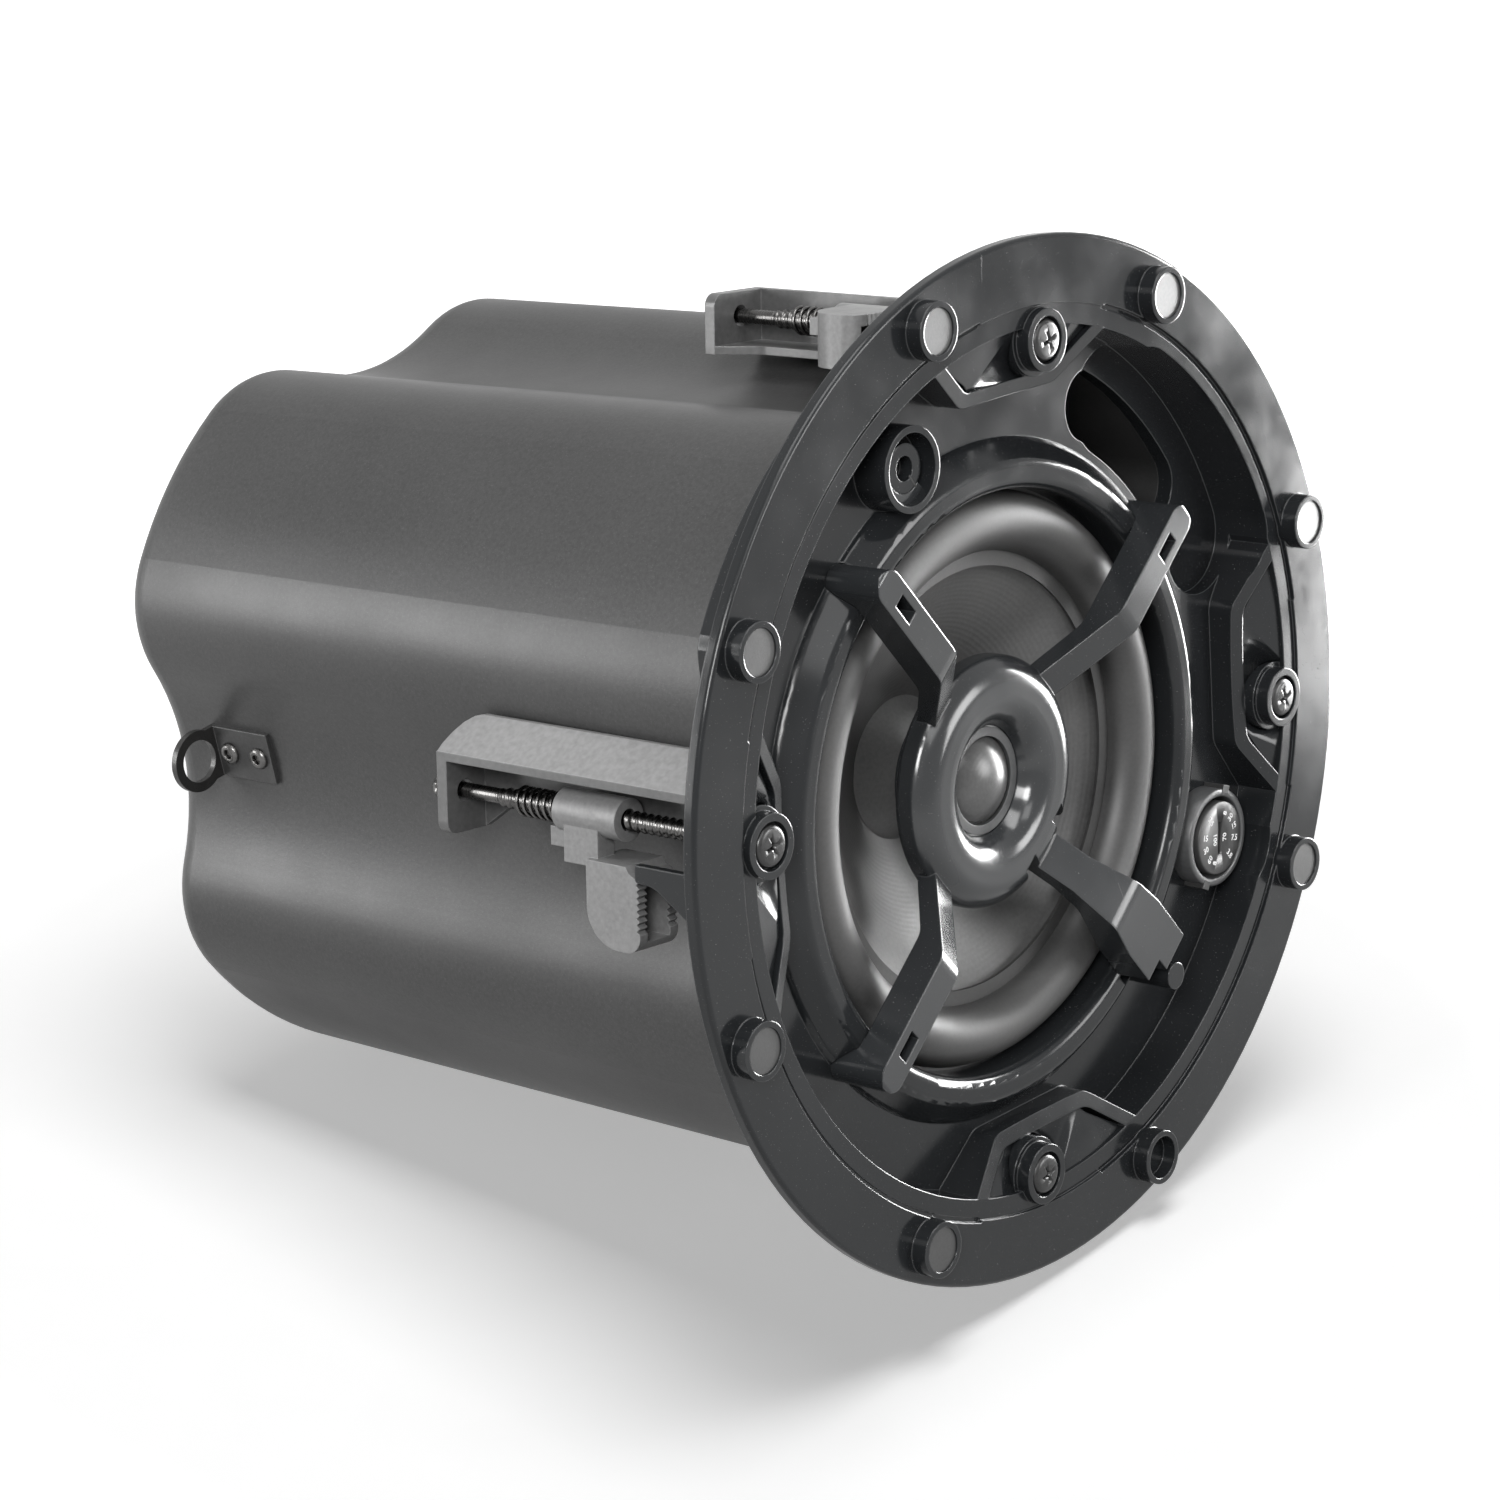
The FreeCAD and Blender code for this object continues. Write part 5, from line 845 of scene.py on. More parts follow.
@dataclass
class ClampScrew:
    """The long screw of one clamp: pan head with a cross recess, rolled thread and domed tip."""

    clamp: Clamp
    core_radius: float = 1.75 * MM
    crest_radius: float = 2.4 * MM
    pitch: float = 2.1 * MM
    head_radius: float = 4.8 * MM
    head_height: float = 2.7 * MM
    head_sink: float = 1.0 * MM
    flank_share: float = 0.42
    crown_fall: float = 1.5 * MM
    recess_reach: float = 2.5 * MM
    recess_width: float = 1.0 * MM
    recess_depth: float = 1.7 * MM
    thread_end: float = 78 * MM
    tip_radius: float = 3.1 * MM
    tip_ribs: int = 9
    rib_height: float = 0.16
    rows_per_turn: int = 10
    sides: int = 20

    def head_rings(self) -> list[Ring]:
        """Rings of the pan head, from its seat to its crown.

        Returns:
            The rings.
        """
        seat = FRONT - self.head_sink
        radius, height = self.head_radius, self.head_height
        profile = [
            (self.core_radius, seat),
            (radius - 0.2 * MM, seat),
            (radius, seat + 0.25 * MM),
            (radius, seat + height * self.flank_share),
        ]
        for turn in (math.radians(degrees) for degrees in range(15, 91, 15)):
            crown = seat + height * (self.flank_share + 0.5 * math.sin(turn))
            profile.append((radius - self.crown_fall * (1 - math.cos(turn)), crown))
        profile.append((1.2 * MM, seat + height))
        return turned_rings(profile, self.clamp.screw, 48)

    def cross_cutter(self) -> Object:
        """The cross of the driver, narrower towards its bottom.

        Returns:
            The cutter.
        """
        crown = FRONT - self.head_sink + self.head_height
        top, bottom = crown + 0.3 * MM, crown - self.recess_depth
        reach, half = self.recess_reach, self.recess_width / 2
        arms = []
        for turn in (20, 110):
            spin = Matrix.Rotation(math.radians(turn), 3, "Z")
            rings = []
            for level, long, wide in ((bottom, reach * 0.35, half * 0.7), (top, reach, half)):
                outline = ((-long, -wide), (long, -wide), (long, wide), (-long, wide))
                rings.append([self.clamp.screw + spin @ Vector((x, y, 0)) + raised(level) for x, y in outline])
            arms.append(rings)
        return ring_piece("cross_cutter", *arms)

    def thread_rings(self, low: float, high: float) -> list[Ring]:
        """Rings of the thread: their radius rises and falls once in a turn and a pitch.

        Args:
            low: Height at which the thread ends.
            high: Height of the seat under the head.

        Returns:
            The rings.
        """
        count = int((high - low) / self.pitch * self.rows_per_turn)
        rings = []
        for row in range(count + 1):
            level = low + (high - low) * row / count
            fade = min(1.0, (level - low) / self.pitch, (high - level) / self.pitch)
            ring = []
            for side in range(self.sides):
                share = side / self.sides
                phase = (level / self.pitch - share) % 1.0
                ridge = max(0.0, 1 - abs(phase - 0.5) * 3.4) * fade
                radius = self.core_radius + (self.crest_radius - self.core_radius) * ridge
                ring.append(self.clamp.screw + polar(radius, 2 * math.pi * share, level))
            rings.append(ring)
        return rings

    def ribbed(self, ring: Ring) -> Ring:
        """A ring of the tip with its ribs; the shank's own rings stay round.

        Args:
            ring: A round ring.

        Returns:
            The same ring with its ribs.
        """
        out = []
        for point in ring:
            arm = Vector((point.x, point.y, 0)) - self.clamp.screw
            share = max(0.0, (arm.length - self.core_radius) / self.tip_radius)
            wave = 1 + self.rib_height * share * math.cos(self.tip_ribs * math.atan2(arm.y, arm.x))
            out.append(self.clamp.screw + arm * wave + raised(point.z))
        return out

    def tip_rings(self, tip: float) -> list[Ring]:
        """Rings of the plain shank and of its ribbed, domed tip, down to a height.

        Args:
            tip: Height of the tip.

        Returns:
            The rings.
        """
        radius = self.tip_radius
        step = tip + radius + 0.2 * MM
        start = FRONT - self.thread_end + 0.1 * MM
        profile = [(self.core_radius, start), (self.core_radius, step), (radius * 0.96, step)]
        for turn in (math.radians(degrees) for degrees in (0, 18, 36, 54, 72, 86)):
            profile.append((radius * math.cos(turn), tip + radius * (1 - math.sin(turn))))
        return [self.ribbed(ring) for ring in turned_rings(profile, self.clamp.screw, 8 * self.tip_ribs)]

    def build(self, shop: Workshop) -> None:
        """Makes the head and the threaded shank and puts them on the screw's body.

        Args:
            shop: Gives out the finishes.
        """
        body = f"screw_{self.clamp.word}"
        node = f"clamp_screw_{self.clamp.word}"
        head = ring_piece(f"screw_head_{self.clamp.word}", self.head_rings(), smooth_below=50)
        cut_away(head, self.cross_cutter())
        shop.dress(head, "head_steel")
        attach(head, body)
        thread = self.thread_rings(FRONT - self.thread_end, FRONT - self.head_sink)
        tip = self.tip_rings(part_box(node)[0].z)
        shank = ring_piece(f"screw_shank_{self.clamp.word}", thread, tip, smooth_below=60)
        shop.dress(shank, "screw_steel")
        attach(shank, body)
        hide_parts(node)
        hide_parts(node)


@dataclass
class ClampSpring:
    """The small spring behind the barrel of one dog-leg, wound from round wire."""

    clamp: Clamp
    wire_radius: float = 0.45 * MM
    coil_radius: float = 3.05 * MM
    turns: float = 6.5
    steps_per_turn: int = 28
    wire_sides: int = 8

    def build(self, shop: Workshop) -> None:
        """Makes the wound wire and puts it on the carriage's body.

        Args:
            shop: Gives out the finishes.
        """
        node = f"clamp_spring_{self.clamp.word}"
        low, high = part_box(node)
        bottom, top = low.z + self.wire_radius, high.z - self.wire_radius
        steps = int(self.turns * self.steps_per_turn)
        rings = []
        for step in range(steps + 1):
            share = step / steps
            turn = 2 * math.pi * self.turns * share
            eased = min(1.0, max(0.0, (share - 0.04) / 0.92))
            outward = polar(1.0, turn)
            middle = self.clamp.screw + outward * self.coil_radius + raised(bottom + (top - bottom) * eased)
            ring = []
            for side in range(self.wire_sides):
                around = 2 * math.pi * side / self.wire_sides
                aside, above = self.wire_radius * math.cos(around), self.wire_radius * math.sin(around)
                ring.append(middle + outward * aside + raised(above))
            rings.append(ring)
        wire = ring_piece(f"spring_wire_{self.clamp.word}", rings, smooth_below=80)
        shop.dress(wire, "spring_wire")
        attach(wire, f"carriage_{self.clamp.word}")
        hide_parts(node)


@dataclass
class ClampFlank:
    """The sloping flank on the side wall of one clamp channel, with a rounded rear corner."""

    clamp: Clamp
    foot: float = 9.45 * MM
    lip: float = 103.2 * MM
    lip_gap: float = 0.1 * MM
    crest: float = 94.0 * MM
    crest_aside: float = 17.0 * MM
    root: float = 92.5 * MM
    sheet: float = 1.6 * MM
    rear: float = 92 * MM
    collar: float = 14.6 * MM
    corner: float = 6 * MM

    def place(self, outward: float, aside: float, depth: float) -> Vector:
        """A point given outwards, to the wall's side and down from the front face."""
        return planar(outward, self.clamp.value) + planar(aside, self.clamp.value - 90) + raised(FRONT - depth)

    def build(self, shop: Workshop) -> None:
        """Lofts the flank along the channel and puts it on the housing.

        Args:
            shop: Gives out the finishes.
        """
        stations = []
        for turn in (math.radians(degrees) for degrees in (12, 30, 50, 70, 90)):
            stations.append((self.rear - self.corner * (1 - math.cos(turn)), math.sin(turn)))
        stations += [(self.collar + 30 * MM, 1.0), (self.collar, 1.0)]
        rings = []
        for depth, share in stations:
            aside = self.foot + (self.crest_aside - self.foot) * share
            outward = self.lip + (self.crest - self.lip) * share
            section = (
                (self.lip - self.lip_gap, self.foot),
                (outward, aside),
                (max(self.root, outward - self.sheet), aside),
                (self.root, self.foot),
            )
            rings.append([self.place(*point, depth) for point in section])
        flank = ring_piece(f"channel_flank_{self.clamp.word}", rings, smooth_below=28)
        # Painted light: the flank gets the lighter copy of the clamp channel's plastic.
        shop.dress(flank, "flank_plastic")
        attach(flank, "housing")


@dataclass
class IslandFill:
    """The floor of one screw island, raised so that the island's rim stands out as a thin step."""

    clamp: Clamp
    turn: float = 4.3
    inner: float = 88.6 * MM
    half: float = 16.4 * MM
    chamfer: float = 2 * MM
    reach: float = 102.2 * MM
    spread: float = 16.4
    foot: float = 8.4 * MM
    step: float = 1.3 * MM
    fall: float = 5.5 / 16.3
    level_from: float = 100.6 * MM
    boss: float = 8.8 * MM

    def build(self, shop: Workshop) -> None:
        """Makes the sloping floor with its hole round the screw's boss.

        Args:
            shop: Gives out the finishes.
        """
        bearing = self.clamp.value + self.turn
        along, across = planar(1.0, bearing), planar(1.0, bearing + 90)
        side, end = self.inner + self.chamfer, self.half - self.chamfer
        outline = [
            along * side - across * self.half,
            *(planar(self.reach, bearing + self.spread * part / 4) for part in range(-4, 5)),
            along * side + across * self.half,
            along * self.inner + across * end,
            along * self.inner - across * end,
        ]
        low = [point + raised(FRONT - self.foot) for point in outline]
        falls = [self.fall * max(0.0, self.level_from - point.dot(along)) for point in outline]
        high = [point + raised(FRONT - self.step - fall) for point, fall in zip(outline, falls)]
        form = bmesh.new()
        skin_rings(form, [low, high])
        bmesh.ops.triangulate(form, faces=[face for face in form.faces if len(face.verts) > 4])
        fill = mesh_piece(f"island_floor_{self.clamp.word}", form, 30)
        bore = [(self.boss, FRONT - 2 * self.foot), (self.boss, FRONT + self.foot)]
        cut_away(fill, ring_piece("boss_cutter", turned_rings(bore, self.clamp.screw, 40)))
        shop.dress(fill, "gloss_baffle")
        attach(fill, "housing")


@dataclass
class FlexRing:
    """A ring of the driver, cut into sectors.
    """

    node: str
    finish: str
    profile: Profile
    moving: float
    still: float
    sectors: int = 12
    steps: int = 14

    def build(self, shop: Workshop) -> None:
        """Makes the sectors, dresses them and hides the imported ring.

        Args:
            shop: Gives out the finishes.
        """
        for number in range(self.sectors):
            start = 2 * math.pi * number / self.sectors
            rings = []
            for step in range(self.steps + 1):
                turn = start + 2 * math.pi * step / self.steps / self.sectors
                rings.append([DRIVER + polar(radius, turn, FRONT + height) for radius, height in self.profile])
            piece = ring_piece(f"{self.node}_sector_{number:02d}", rings, smooth_below=50)
            shop.dress(piece, self.finish)
            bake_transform(piece)
            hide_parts(self.node)


def surround_profile() -> Profile:
    """Section of the half-roll surround with its glued edges; heights count from the front face.

    Returns:
        Radius and height of each point, in order round the section.
    """
    inner, outer, seat, sheet, land = 53.0, 67.2, -16.6, 0.8, 3.5
    middle, radius = (inner + outer) / 2, (outer - inner) / 2
    thin, low = radius - sheet, seat - sheet
    turns = [math.radians(degrees) for degrees in range(0, 181, 12)]
    over = [(middle - radius * math.cos(turn), seat + radius * math.sin(turn)) for turn in turns]
    under = [(middle + thin * math.cos(turn), seat + thin * math.sin(turn)) for turn in turns]
    points = [(inner - land, seat), *over, (outer + land, seat), (outer + land, low), (outer - sheet, low)]
    points += [*under, (inner + sheet, low), (inner - land, low)]
    return [(across * MM, height * MM) for across, height in points]


def spider_profile() -> Profile:
    """Section of the corrugated spider; heights count from the front face.

    Returns:
        Radius and height of each point, in order round the section.
    """
    start, end, low, sheet, waves, steps = 13.3, 47.5, -42.6, 0.6, 3, 24
    top, bottom = [], []
    for step in range(steps + 1):
        share = step / steps
        lift = sheet * (1 - math.cos(2 * math.pi * waves * share))
        place = start + (end - start) * share
        top.append((place * MM, (low + lift + sheet) * MM))
        bottom.append((place * MM, (low + lift) * MM))
    return top + bottom[::-1]


@dataclass
class SafetyLoops:
    """The safety loops at the rear of the can: painted plate, leg and ring near black as painted shade, and two blind
    rivets each.
    """

    ring_reach: float = 8 * MM
    sheet: float = 1.6 * MM
    ring_places: dict[str, tuple[float, float]] = field(
        default_factory=lambda: {"west": (-87.523 * MM, -8.359 * MM), "south": (8.359 * MM, -87.523 * MM)}
    )
    foot_height: float = 19 * MM
    rivet_levels: tuple[float, float] = (6 * MM, 16 * MM)
    rivet_profile: tuple[tuple[float, float], ...] = (
        (2.75, 0.0), (2.75, 0.4), (2.55, 0.8), (2.1, 1.14), (1.6, 1.28), (1.3, 1.2),
        (1.18, 0.95), (1.15, 0.1), (0.75, 0.1), (0.7, 0.45), (0.1, 0.5),
    )

    def frame(self, name: str) -> tuple[Vector, Vector]:
        """Foot of a loop's plate at its back, and the direction in which the plate faces."""
        outward = planar(1.0, {"west": 180, "south": 270}[name] + LOOP_LEAN)
        return Vector((*self.ring_places[name], self.foot_height)) - outward * self.ring_reach, outward

    def paint(self, shop: Workshop, name: str) -> None:
        """Gives the plate the can's coat and the bent leg with its ring a near-black finish as painted shade.

        Args:
            shop: Gives out the finishes.
            name: Which of the loops.
        """
        foot, outward = self.frame(name)
        mesh = frame_node(f"safety_loop_{name}").data
        mesh.materials.clear()
        mesh.materials.append(shop.finish("can_coat"))
        # Painted shade: leg and ring get the near-black finish so that their faces read as shaded.
        mesh.materials.append(shop.finish("black_steel"))
        for polygon in mesh.polygons:
            middle = sum((mesh.vertices[corner].co for corner in polygon.vertices), Vector()) / len(polygon.vertices)
            polygon.material_index = int((middle - foot).dot(outward) > self.sheet * 1.05)

    def rivet(self, shop: Workshop, name: str, number: int, level: float) -> None:
        """One blind rivet: a domed head round the bore in which its pin broke off.

        Args:
            shop: Gives out the finishes.
            name: Which of the loops.
            number: Number of the rivet on that loop.
            level: Its height over the foot of the loop's plate.
        """
        foot, outward = self.frame(name)
        seat = foot + outward * self.sheet + raised(level)
        turn = outward.to_track_quat("Z", "Y").to_matrix()
        profile = [(radius * MM, height * MM) for radius, height in self.rivet_profile]
        rings = [[seat + turn @ point for point in ring] for ring in turned_rings(profile, Vector(), 32)]
        head = ring_piece(f"rivet_{name}_{number}", rings)
        shop.dress(head, "rivet_steel")
        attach(head, "housing")
        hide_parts("loop_rivets")

    def build(self, shop: Workshop) -> None:
        """Paints both loops and sets their rivets.

        Args:
            shop: Gives out the finishes.
        """
        for name in self.ring_places:
            self.paint(shop, name)
            for number, level in enumerate(self.rivet_levels):
                self.rivet(shop, name, number, level)


@dataclass
class TetherCup:
    """The cup for the grille's tether: the land between its disc and its rim, with a dark strip at the disc's hole as
    painted shade of a slit.
    """

    disc_radius: float = 5.5 * MM
    inner_radius: float = 8.2 * MM
    land_top: float = 5.5 * MM
    land_thickness: float = 3.4 * MM
    land_start: float = 128.0
    land_end: float = 322.0
    land_steps: int = 32
    slit_bearing: float = -48.0
    slit_start: float = 2.4 * MM
    slit_length: float = 3.6 * MM
    slit_width: float = 0.5 * MM

    def build(self, shop: Workshop) -> None:
        """Fills the part of the well that the land takes.

        Args:
            shop: Gives out the finishes.
        """
        rings = []
        top = FRONT - self.land_top
        low, high = raised(top - self.land_thickness), raised(top)
        for step in range(self.land_steps + 1):
            bearing = self.land_start + (self.land_end - self.land_start) * step / self.land_steps
            near, far = CUP_CENTRE + planar(self.disc_radius, bearing), CUP_CENTRE + planar(self.inner_radius, bearing)
            rings.append([near + low, far + low, far + high, near + high])
        land = ring_piece("tether_land", rings, smooth_below=30)
        # Painted light: the land takes the bridge's lighter copy of the gloss black.
        shop.dress(land, "gloss_bridge")
        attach(land, "housing")
        # Painted shade: the slit is not cut, a thin dark strip lies on the land instead.
        along, across = planar(1.0, self.slit_bearing), planar(self.slit_width / 2, self.slit_bearing + 90)
        start = CUP_CENTRE + along * self.slit_start
        end = start + along * self.slit_length
        outline = [start + across, start - across, end - across, end + across]
        slit = ring_piece("tether_slit", extruded(outline, top - 0.2 * MM, top + 0.04 * MM), smooth_below=30)
        shop.dress(slit, "inner_plastic")
        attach(slit, "housing")


@dataclass
class TapSelector:
    """The tap selector: ring with two keys, slotted disc and plain numbers printed on it."""

    right: tuple[tuple[str, float], ...] = (("8", 70), ("30", 45), ("15", 19), ("7.5", -9), ("3.8", -49))
    left: tuple[tuple[str, float], ...] = (("8", 250), ("60", 228), ("30", 199), ("15", 171), ("7.5", 130))
    columns: tuple[tuple[str, float], ...] = (("100", -2.15 * MM), ("70", 2.0 * MM))
    digit: float = 1.55 * MM
    circle: float = 6.3 * MM
    print_depth: float = 0.05 * MM
    stroke_growth: float = 0.04 * MM
    edge: float = 0.35 * MM
    ring_outer: float = 12.1 * MM
    ring_inner: float = 10.2 * MM
    disc_radius: float = 9.1 * MM
    ring_top: float = 6.4 * MM
    ring_foot: float = 12.0 * MM
    disc_top: float = 5.7 * MM
    disc_foot: float = 8.4 * MM
    slot_reach: float = 4.15 * MM
    slot_half: float = 0.9 * MM
    slot_depth: float = 1.2 * MM
    key_bearings: tuple[float, float] = (74.0, 247.0)
    key_half: float = 1.3 * MM

    def number(self, word: str, place: Vector, turn: float) -> Object:
        """One printed number.

        Args:
            word: The digits.
            place: Middle of the number on the face.
            turn: Direction in which it reads, in degrees.

        Returns:
            The number as a mesh object.
        """
        curve = bpy.data.curves.new("number", "FONT")
        curve.body = word
        curve.size = self.digit * 1.35
        curve.align_x = curve.align_y = "CENTER"
        curve.extrude = self.print_depth / 2
        curve.resolution_u = 2
        curve.offset = self.stroke_growth
        holder = bpy.data.objects.new("number", curve)
        mesh = bpy.data.meshes.new_from_object(holder)
        bpy.data.objects.remove(holder)
        mesh.transform(Matrix.Translation(place) @ Matrix.Rotation(math.radians(turn), 4, "Z"))
        return add_object("number", mesh)

    def print_numbers(self, shop: Workshop) -> None:
        """Prints the numbers and puts them on the knob's body.

        Args:
            shop: Gives out the finishes.
        """
        face = DIAL_CENTRE + raised(FRONT - self.disc_top + self.print_depth / 2)
        numbers = []
        for words, half_turn in ((self.right, 0), (self.left, 180)):
            for word, bearing in words:
                numbers.append(self.number(word, face + planar(self.circle, bearing), bearing + half_turn))
        for (word, aside), turn in zip(self.columns, (-90, 90)):
            numbers.append(self.number(word, face + Vector((aside, 0, 0)), turn))
        form = bmesh.new()
        for obj in numbers:
            form.from_mesh(obj.data)
            bpy.data.objects.remove(obj)
        printed = mesh_piece("dial_numbers", form, 30)
        shop.dress(printed, "dial_print")
        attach(printed, "tap_knob")

    def make_disc(self, shop: Workshop) -> None:
        """Makes the disc with its rounded edge and screwdriver slot.

        Args:
            shop: Gives out the finishes.
        """
        top, foot, radius, edge = FRONT - self.disc_top, FRONT - self.disc_foot, self.disc_radius, self.edge
        rim = [(radius, foot), (radius, top - edge), (radius - 0.1 * MM, top - 0.1 * MM), (radius - edge, top)]
        profile = [(0.5 * MM, foot), *rim, (0.5 * MM, top)]
        disc = ring_piece("dial_disc", turned_rings(profile, DIAL_CENTRE, 64), smooth_below=50)
        half, reach = self.slot_half, self.slot_reach
        outline = [(-half, -reach), (half, -reach), (half, reach), (-half, reach)]
        slot = extruded([DIAL_CENTRE + Vector((x, y, 0)) for x, y in outline], top - self.slot_depth, top + 0.5 * MM)
        cut_away(disc, ring_piece("slot_cutter", slot))
        shop.dress(disc, "dial_plastic")
        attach(disc, "tap_knob")
        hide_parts("tap_dial")

    def make_ring(self, shop: Workshop) -> None:
        """Makes the ring with its rounded top and its two keys.

        Args:
            shop: Gives out the finishes.
        """
        form = bmesh.new()
        top, foot, edge = FRONT - self.ring_top, FRONT - self.ring_foot, self.edge
        inner, outer = self.ring_inner, self.ring_outer
        outside = [(inner, foot), (outer, foot), (outer, top - edge), (outer - edge, top)]
        profile = [*outside, (inner + edge, top), (inner, top - edge), (inner, foot)]
        skin_rings(form, turned_rings(profile, DIAL_CENTRE, 72), capped=False)
        bmesh.ops.remove_doubles(form, verts=form.verts, dist=0.00001)
        ring = mesh_piece("dial_bezel", form, 50)
        shop.dress(ring, "ring_plastic")
        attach(ring, "housing")
        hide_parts("dial_ring")
        for number, bearing in enumerate(self.key_bearings):
            along, across = planar(1.0, bearing), planar(self.key_half, bearing + 90)
            near, far = DIAL_CENTRE + along * (outer - 1.2 * MM), DIAL_CENTRE + along * (outer + 1.0 * MM)
            outline = [near + across, near - across, far - across, far + across]
            key = ring_piece(f"bezel_key_{number}", extruded(outline, foot, top + 0.1 * MM), smooth_below=30)
            shop.dress(key, "inner_plastic")
            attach(key, "housing")

    def build(self, shop: Workshop) -> None:
        """Makes ring, disc and print.

        Args:
            shop: Gives out the finishes.
        """
        self.make_ring(shop)
        self.make_disc(shop)
        self.print_numbers(shop)


_NODES: dict[str, Object] = {}


def frame_node(name: str) -> Object:
    """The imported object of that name."""
    return _NODES[name]


# ---------------------------------------------------------------- studio


def seen_directly(bench: Bench) -> Socket:
    """One for rays from the camera, off a gloss and through glass; nothing for the light that falls on matt faces.

    Args:
        bench: Bench on the material's or the world's nodes.

    Returns:
        The mask.
    """
    path = bench.add("ShaderNodeLightPath")
    mirrored = bench.sum("MAXIMUM", path.outputs["Is Glossy Ray"], path.outputs["Is Transmission Ray"])
    return bench.sum("MAXIMUM", path.outputs["Is Camera Ray"], mirrored)


@dataclass(frozen=True)
class Softbox:
    """A rectangular softbox: its place as seen from the speaker's middle, its size and its power in watts.

    The bearing counts in degrees from the photographer's side round by the right, the rise from the level.
    """

    bearing: float
    rise: float
    width: float
    height: float
    power: float
    away: float = 1.6


BOXES: dict[str, Softbox] = {
    "left_box": Softbox(272, 8, width=0.8, height=0.5, power=17),
    "key_box": Softbox(352, 34, width=0.5, height=0.5, power=22),
    "right_box": Softbox(78, 16, width=0.6, height=0.6, power=14),
    "front_box": Softbox(30, 48, width=0.6, height=0.6, power=4),
    "top_box": Softbox(15, 84, width=0.9, height=0.9, power=19),
    "low_box": Softbox(120, -2, width=0.34, height=0.26, power=11, away=0.5),
}


@dataclass
class Studio:
    """Floor, lights and camera. The speaker lies on its side, on its flange and two lobes of its can."""

    valley_bearing: float = 278.6
    lean: float = 8.8
    camera_place: Vector = field(default_factory=lambda: Vector((-0.7489, 0.2068, 0.763)))
    camera_right: Vector = field(default_factory=lambda: Vector((0.64845, -0.01444, 0.76112)))
    camera_up: Vector = field(default_factory=lambda: Vector((0.17099, 0.97703, -0.12715)))
    lens: float = 100.07
    middle: Vector = field(default_factory=lambda: Vector((0, 0, 0.105)))
    floor_half: float = 6.0
    paper_glow: float = 0.42
    glow_span: tuple[float, float] = (0.2, 0.42)
    room_level: float = 0.03

    @property
    def up(self) -> Vector:
        """The direction away from the floor.

        Returns:
            The direction, of length one.
        """
        down = math.radians(self.valley_bearing)
        lean = math.radians(self.lean)
        return Vector((-math.cos(down) * math.cos(lean), -math.sin(down) * math.cos(lean), math.sin(lean)))

    def basis(self) -> tuple[Vector, Vector, Vector]:
        """Directions to the photographer's right, up from the floor and towards the photographer.

        Returns:
            The three directions.
        """
        up = self.up
        right = (self.camera_right - up * self.camera_right.dot(up)).normalized()
        return right, up, right.cross(up).normalized()

    def point(self, right: float, up: float, near: float) -> Vector:
        """A point given along those directions from the middle of the speaker."""
        along, above, ahead = self.basis()
        return self.middle + along * right + above * up + ahead * near

    def floor_level(self) -> float:
        """Lowest point of the object along the floor's normal."""
        up = self.up
        return min((up.dot(vert.co) for obj in _NODES.values() for vert in obj.data.vertices))

    def add_camera(self) -> None:
        """Places the camera that the photograph was fitted with."""
        data = bpy.data.cameras.new("camera")
        data.sensor_width = 36
        data.lens = self.lens
        data.clip_start, data.clip_end = 0.01, 50
        camera = add_object("camera", data)
        ahead = self.camera_right.cross(self.camera_up).normalized()
        turn = Matrix((self.camera_right, self.camera_up, ahead)).transposed().to_4x4()
        camera.matrix_world = Matrix.Translation(self.camera_place) @ turn
        bpy.context.scene.camera = camera

    def paper(self, foot: Vector) -> Material:
        """The floor's paper: pale, and seen through from below.

        Args:
            foot: The point of the floor under the speaker, away from which the paper glows up to white.

        Returns:
            The material.
        """
        material = bpy.data.materials.new("floor_paper")
        material.use_nodes = True
        bench = Bench(material.node_tree)
        place = bench.place()
        fibre = bench.noise(place, 60.0, 4.0, 0.6)
        tone = bench.blend(fibre, grey(0.86), grey(0.9))
        paper = bench.add("ShaderNodeBsdfPrincipled", {"Base Color": tone, "Roughness": 0.75})
        apart = bench.add("ShaderNodeVectorMath", {0: place, 1: tuple(foot)}, operation="DISTANCE").outputs["Value"]
        # Painted light: the paper glows for camera and gloss rays, weakly near the speaker so its shadow shows, and up
        # to white farther off.
        fading = bench.spread(apart, *self.glow_span, self.paper_glow, 1.0)
        glow = bench.sum("MULTIPLY", seen_directly(bench), fading)
        white = bench.add("ShaderNodeEmission", {"Color": grey(1.0), "Strength": glow})
        lit = bench.add("ShaderNodeAddShader", {0: paper.outputs[0], 1: white.outputs[0]})
        gone = bench.add("ShaderNodeBsdfTransparent")
        behind = bench.add("ShaderNodeNewGeometry").outputs["Backfacing"]
        both = bench.add("ShaderNodeMixShader", {0: behind, 1: lit.outputs[0], 2: gone.outputs[0]})
        bench.add("ShaderNodeOutputMaterial", {"Surface": both.outputs[0]})
        return material

    def add_floor(self) -> None:
        """Lays the floor under the speaker, with its face up."""
        along, above, ahead = self.basis()
        foot = above * self.floor_level() + self.middle - above * self.middle.dot(above)
        side, form = self.floor_half, bmesh.new()
        places = ((-side, -side), (side, -side), (side, side), (-side, side))
        form.faces.new([form.verts.new(foot + along * x + ahead * y) for x, y in places])
        mesh = bpy.data.meshes.new("floor")
        form.to_mesh(mesh)
        form.free()
        floor = add_object("floor", mesh)
        if mesh.polygons[0].normal.dot(above) < 0:
            mesh.flip_normals()
        mesh.materials.append(self.paper(foot))

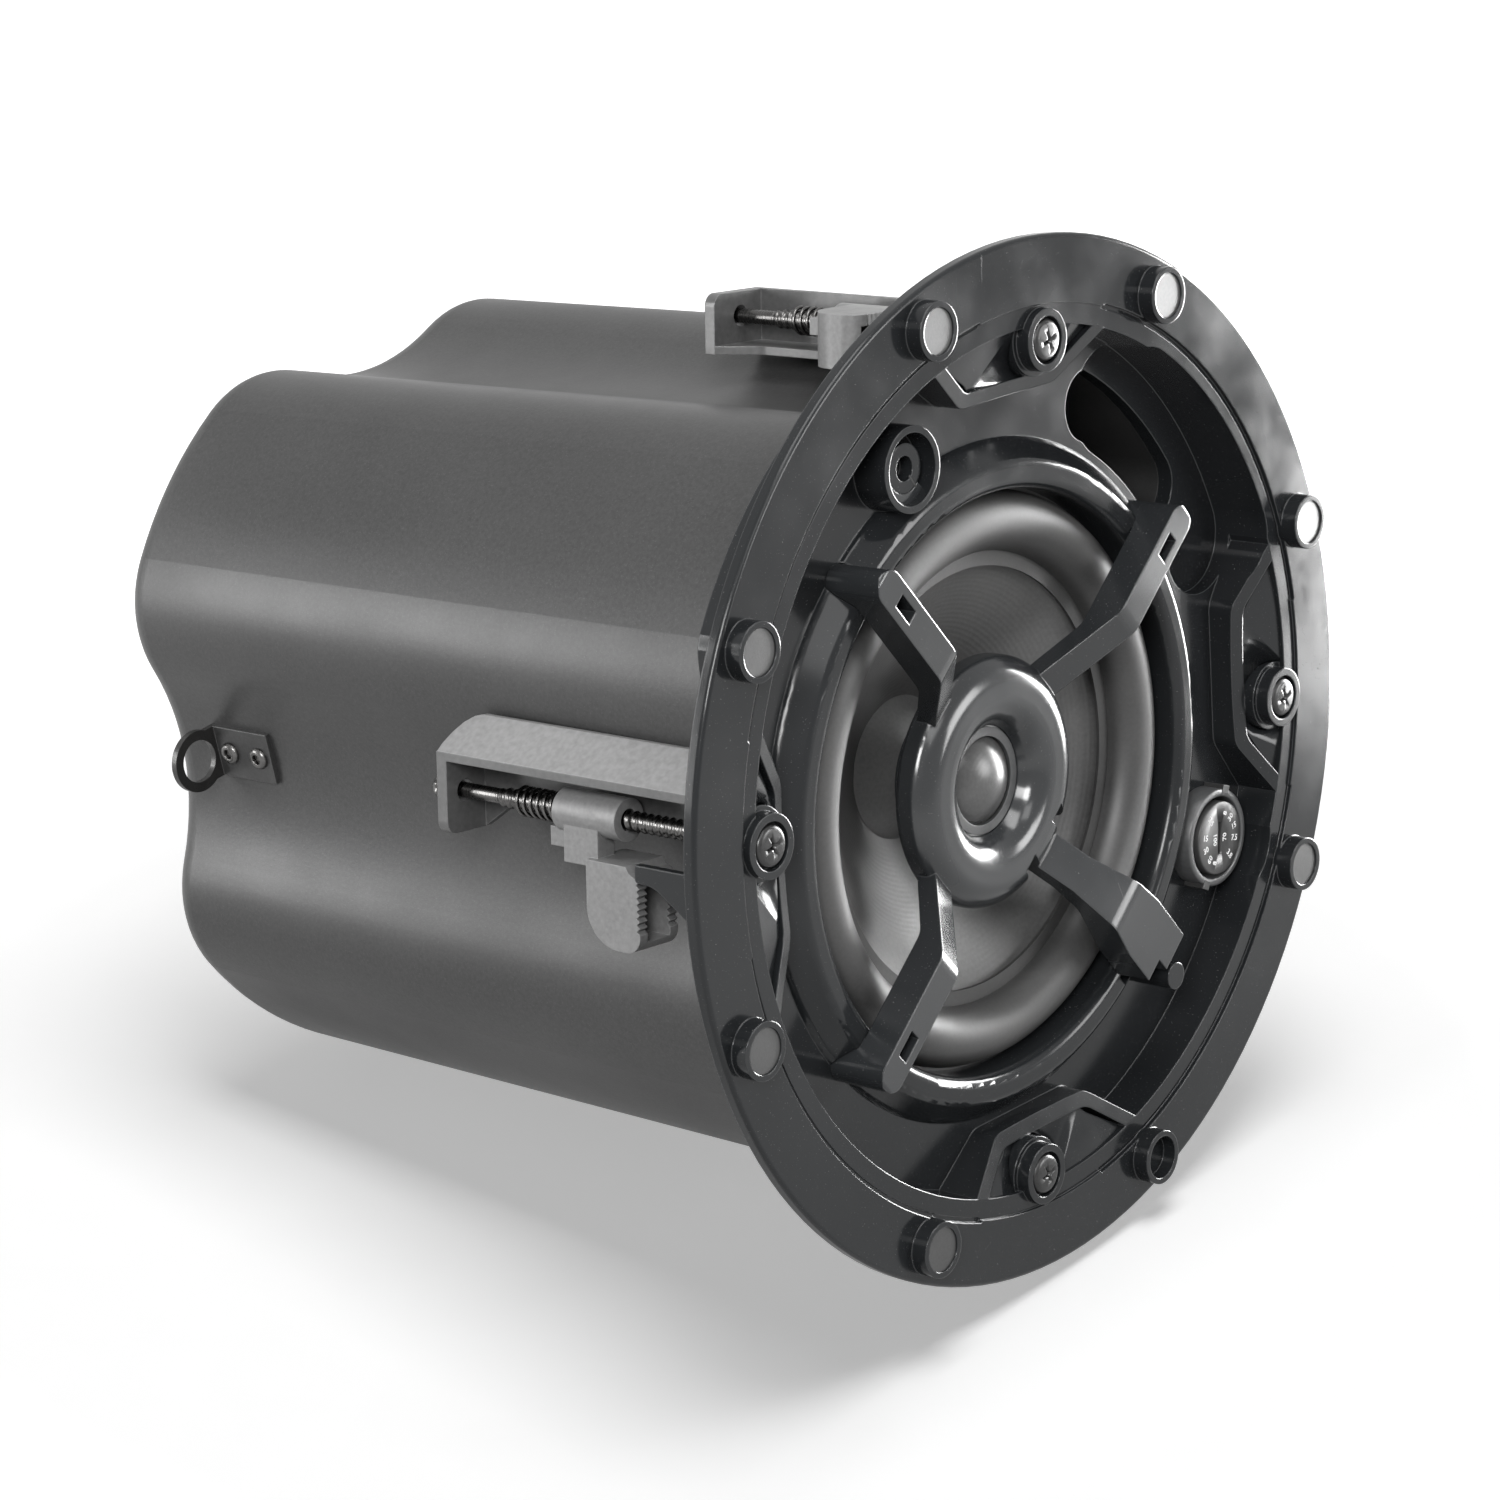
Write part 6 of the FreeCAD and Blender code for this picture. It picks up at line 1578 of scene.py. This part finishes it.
    def hang(self, name: str, box: Softbox) -> None:
        """Hangs a softbox so that it faces the speaker.

        Args:
            name: Name of the lamp.
            box: Its place, size and power.
        """
        flat, above = box.away * math.cos(math.radians(box.rise)), box.away * math.sin(math.radians(box.rise))
        ahead = planar(flat, 90 - box.bearing)
        place = self.point(ahead.x, above, ahead.y)
        data = bpy.data.lights.new(name, "AREA")
        data.shape = "RECTANGLE"
        data.size, data.size_y = box.width, box.height
        data.energy = box.power
        lamp = add_object(name, data)
        lamp.location = place
        lamp.rotation_mode = "QUATERNION"
        lamp.rotation_quaternion = (self.middle - place).to_track_quat("-Z", "Y")

    def add_lights(self) -> None:
        """Hangs the softboxes, of which the top one alone lights the floor and the low one shows in gloss alone."""
        for name, box in BOXES.items():
            self.hang(name, box)
        bpy.data.objects["low_box"].visible_diffuse = False
        spared = bpy.data.collections.new("spared_floor")
        spared.objects.link(bpy.data.objects["floor"])
        spared.collection_objects[0].light_linking.link_state = "EXCLUDE"
        for name in BOXES:
            if name != "top_box":
                bpy.data.objects[name].light_linking.receiver_collection = spared

    def add_room(self) -> None:
        """Fills the room with weak even light, white where it is seen directly."""
        world = bpy.data.worlds.new("room")
        bpy.context.scene.world = world
        world.use_nodes = True
        bench = Bench(world.node_tree)
        room = bench.add("ShaderNodeBackground", {"Color": grey(self.room_level), "Strength": 1.0})
        white = bench.add("ShaderNodeBackground", {"Color": grey(1.0), "Strength": 1.0})
        seen = bench.add("ShaderNodeMixShader", {0: seen_directly(bench), 1: room.outputs[0], 2: white.outputs[0]})
        bench.add("ShaderNodeOutputWorld", {"Surface": seen.outputs[0]})

    def build(self) -> None:
        """Sets up the whole studio."""
        self.add_camera()
        self.add_floor()
        self.add_lights()
        self.add_room()
        bpy.context.scene.view_settings.view_transform = "Standard"


def main() -> None:
    """Loads the frame, then builds and dresses every piece."""
    logging.basicConfig(level=logging.INFO, format="%(message)s")
    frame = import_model()
    _NODES.update(frame["nodes"])
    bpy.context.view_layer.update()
    Studio().build()
    shop = Workshop()
    for finish, names in NODES_IN.items():
        for name in names:
            shop.dress(frame_node(name), finish)
    for clamp in Clamp:
        ClampScrew(clamp).build(shop)
        ClampSpring(clamp).build(shop)
        ClampFlank(clamp).build(shop)
        IslandFill(clamp).build(shop)
    FlexRing("surround", "surround_rubber", surround_profile(), 53.9 * MM, 64.6 * MM).build(shop)
    FlexRing("spider", "spider_cloth", spider_profile(), 14.1 * MM, 45.5 * MM).build(shop)
    SafetyLoops().build(shop)
    TetherCup().build(shop)
    TapSelector().build(shop)


if __name__ == "__main__":
    main()
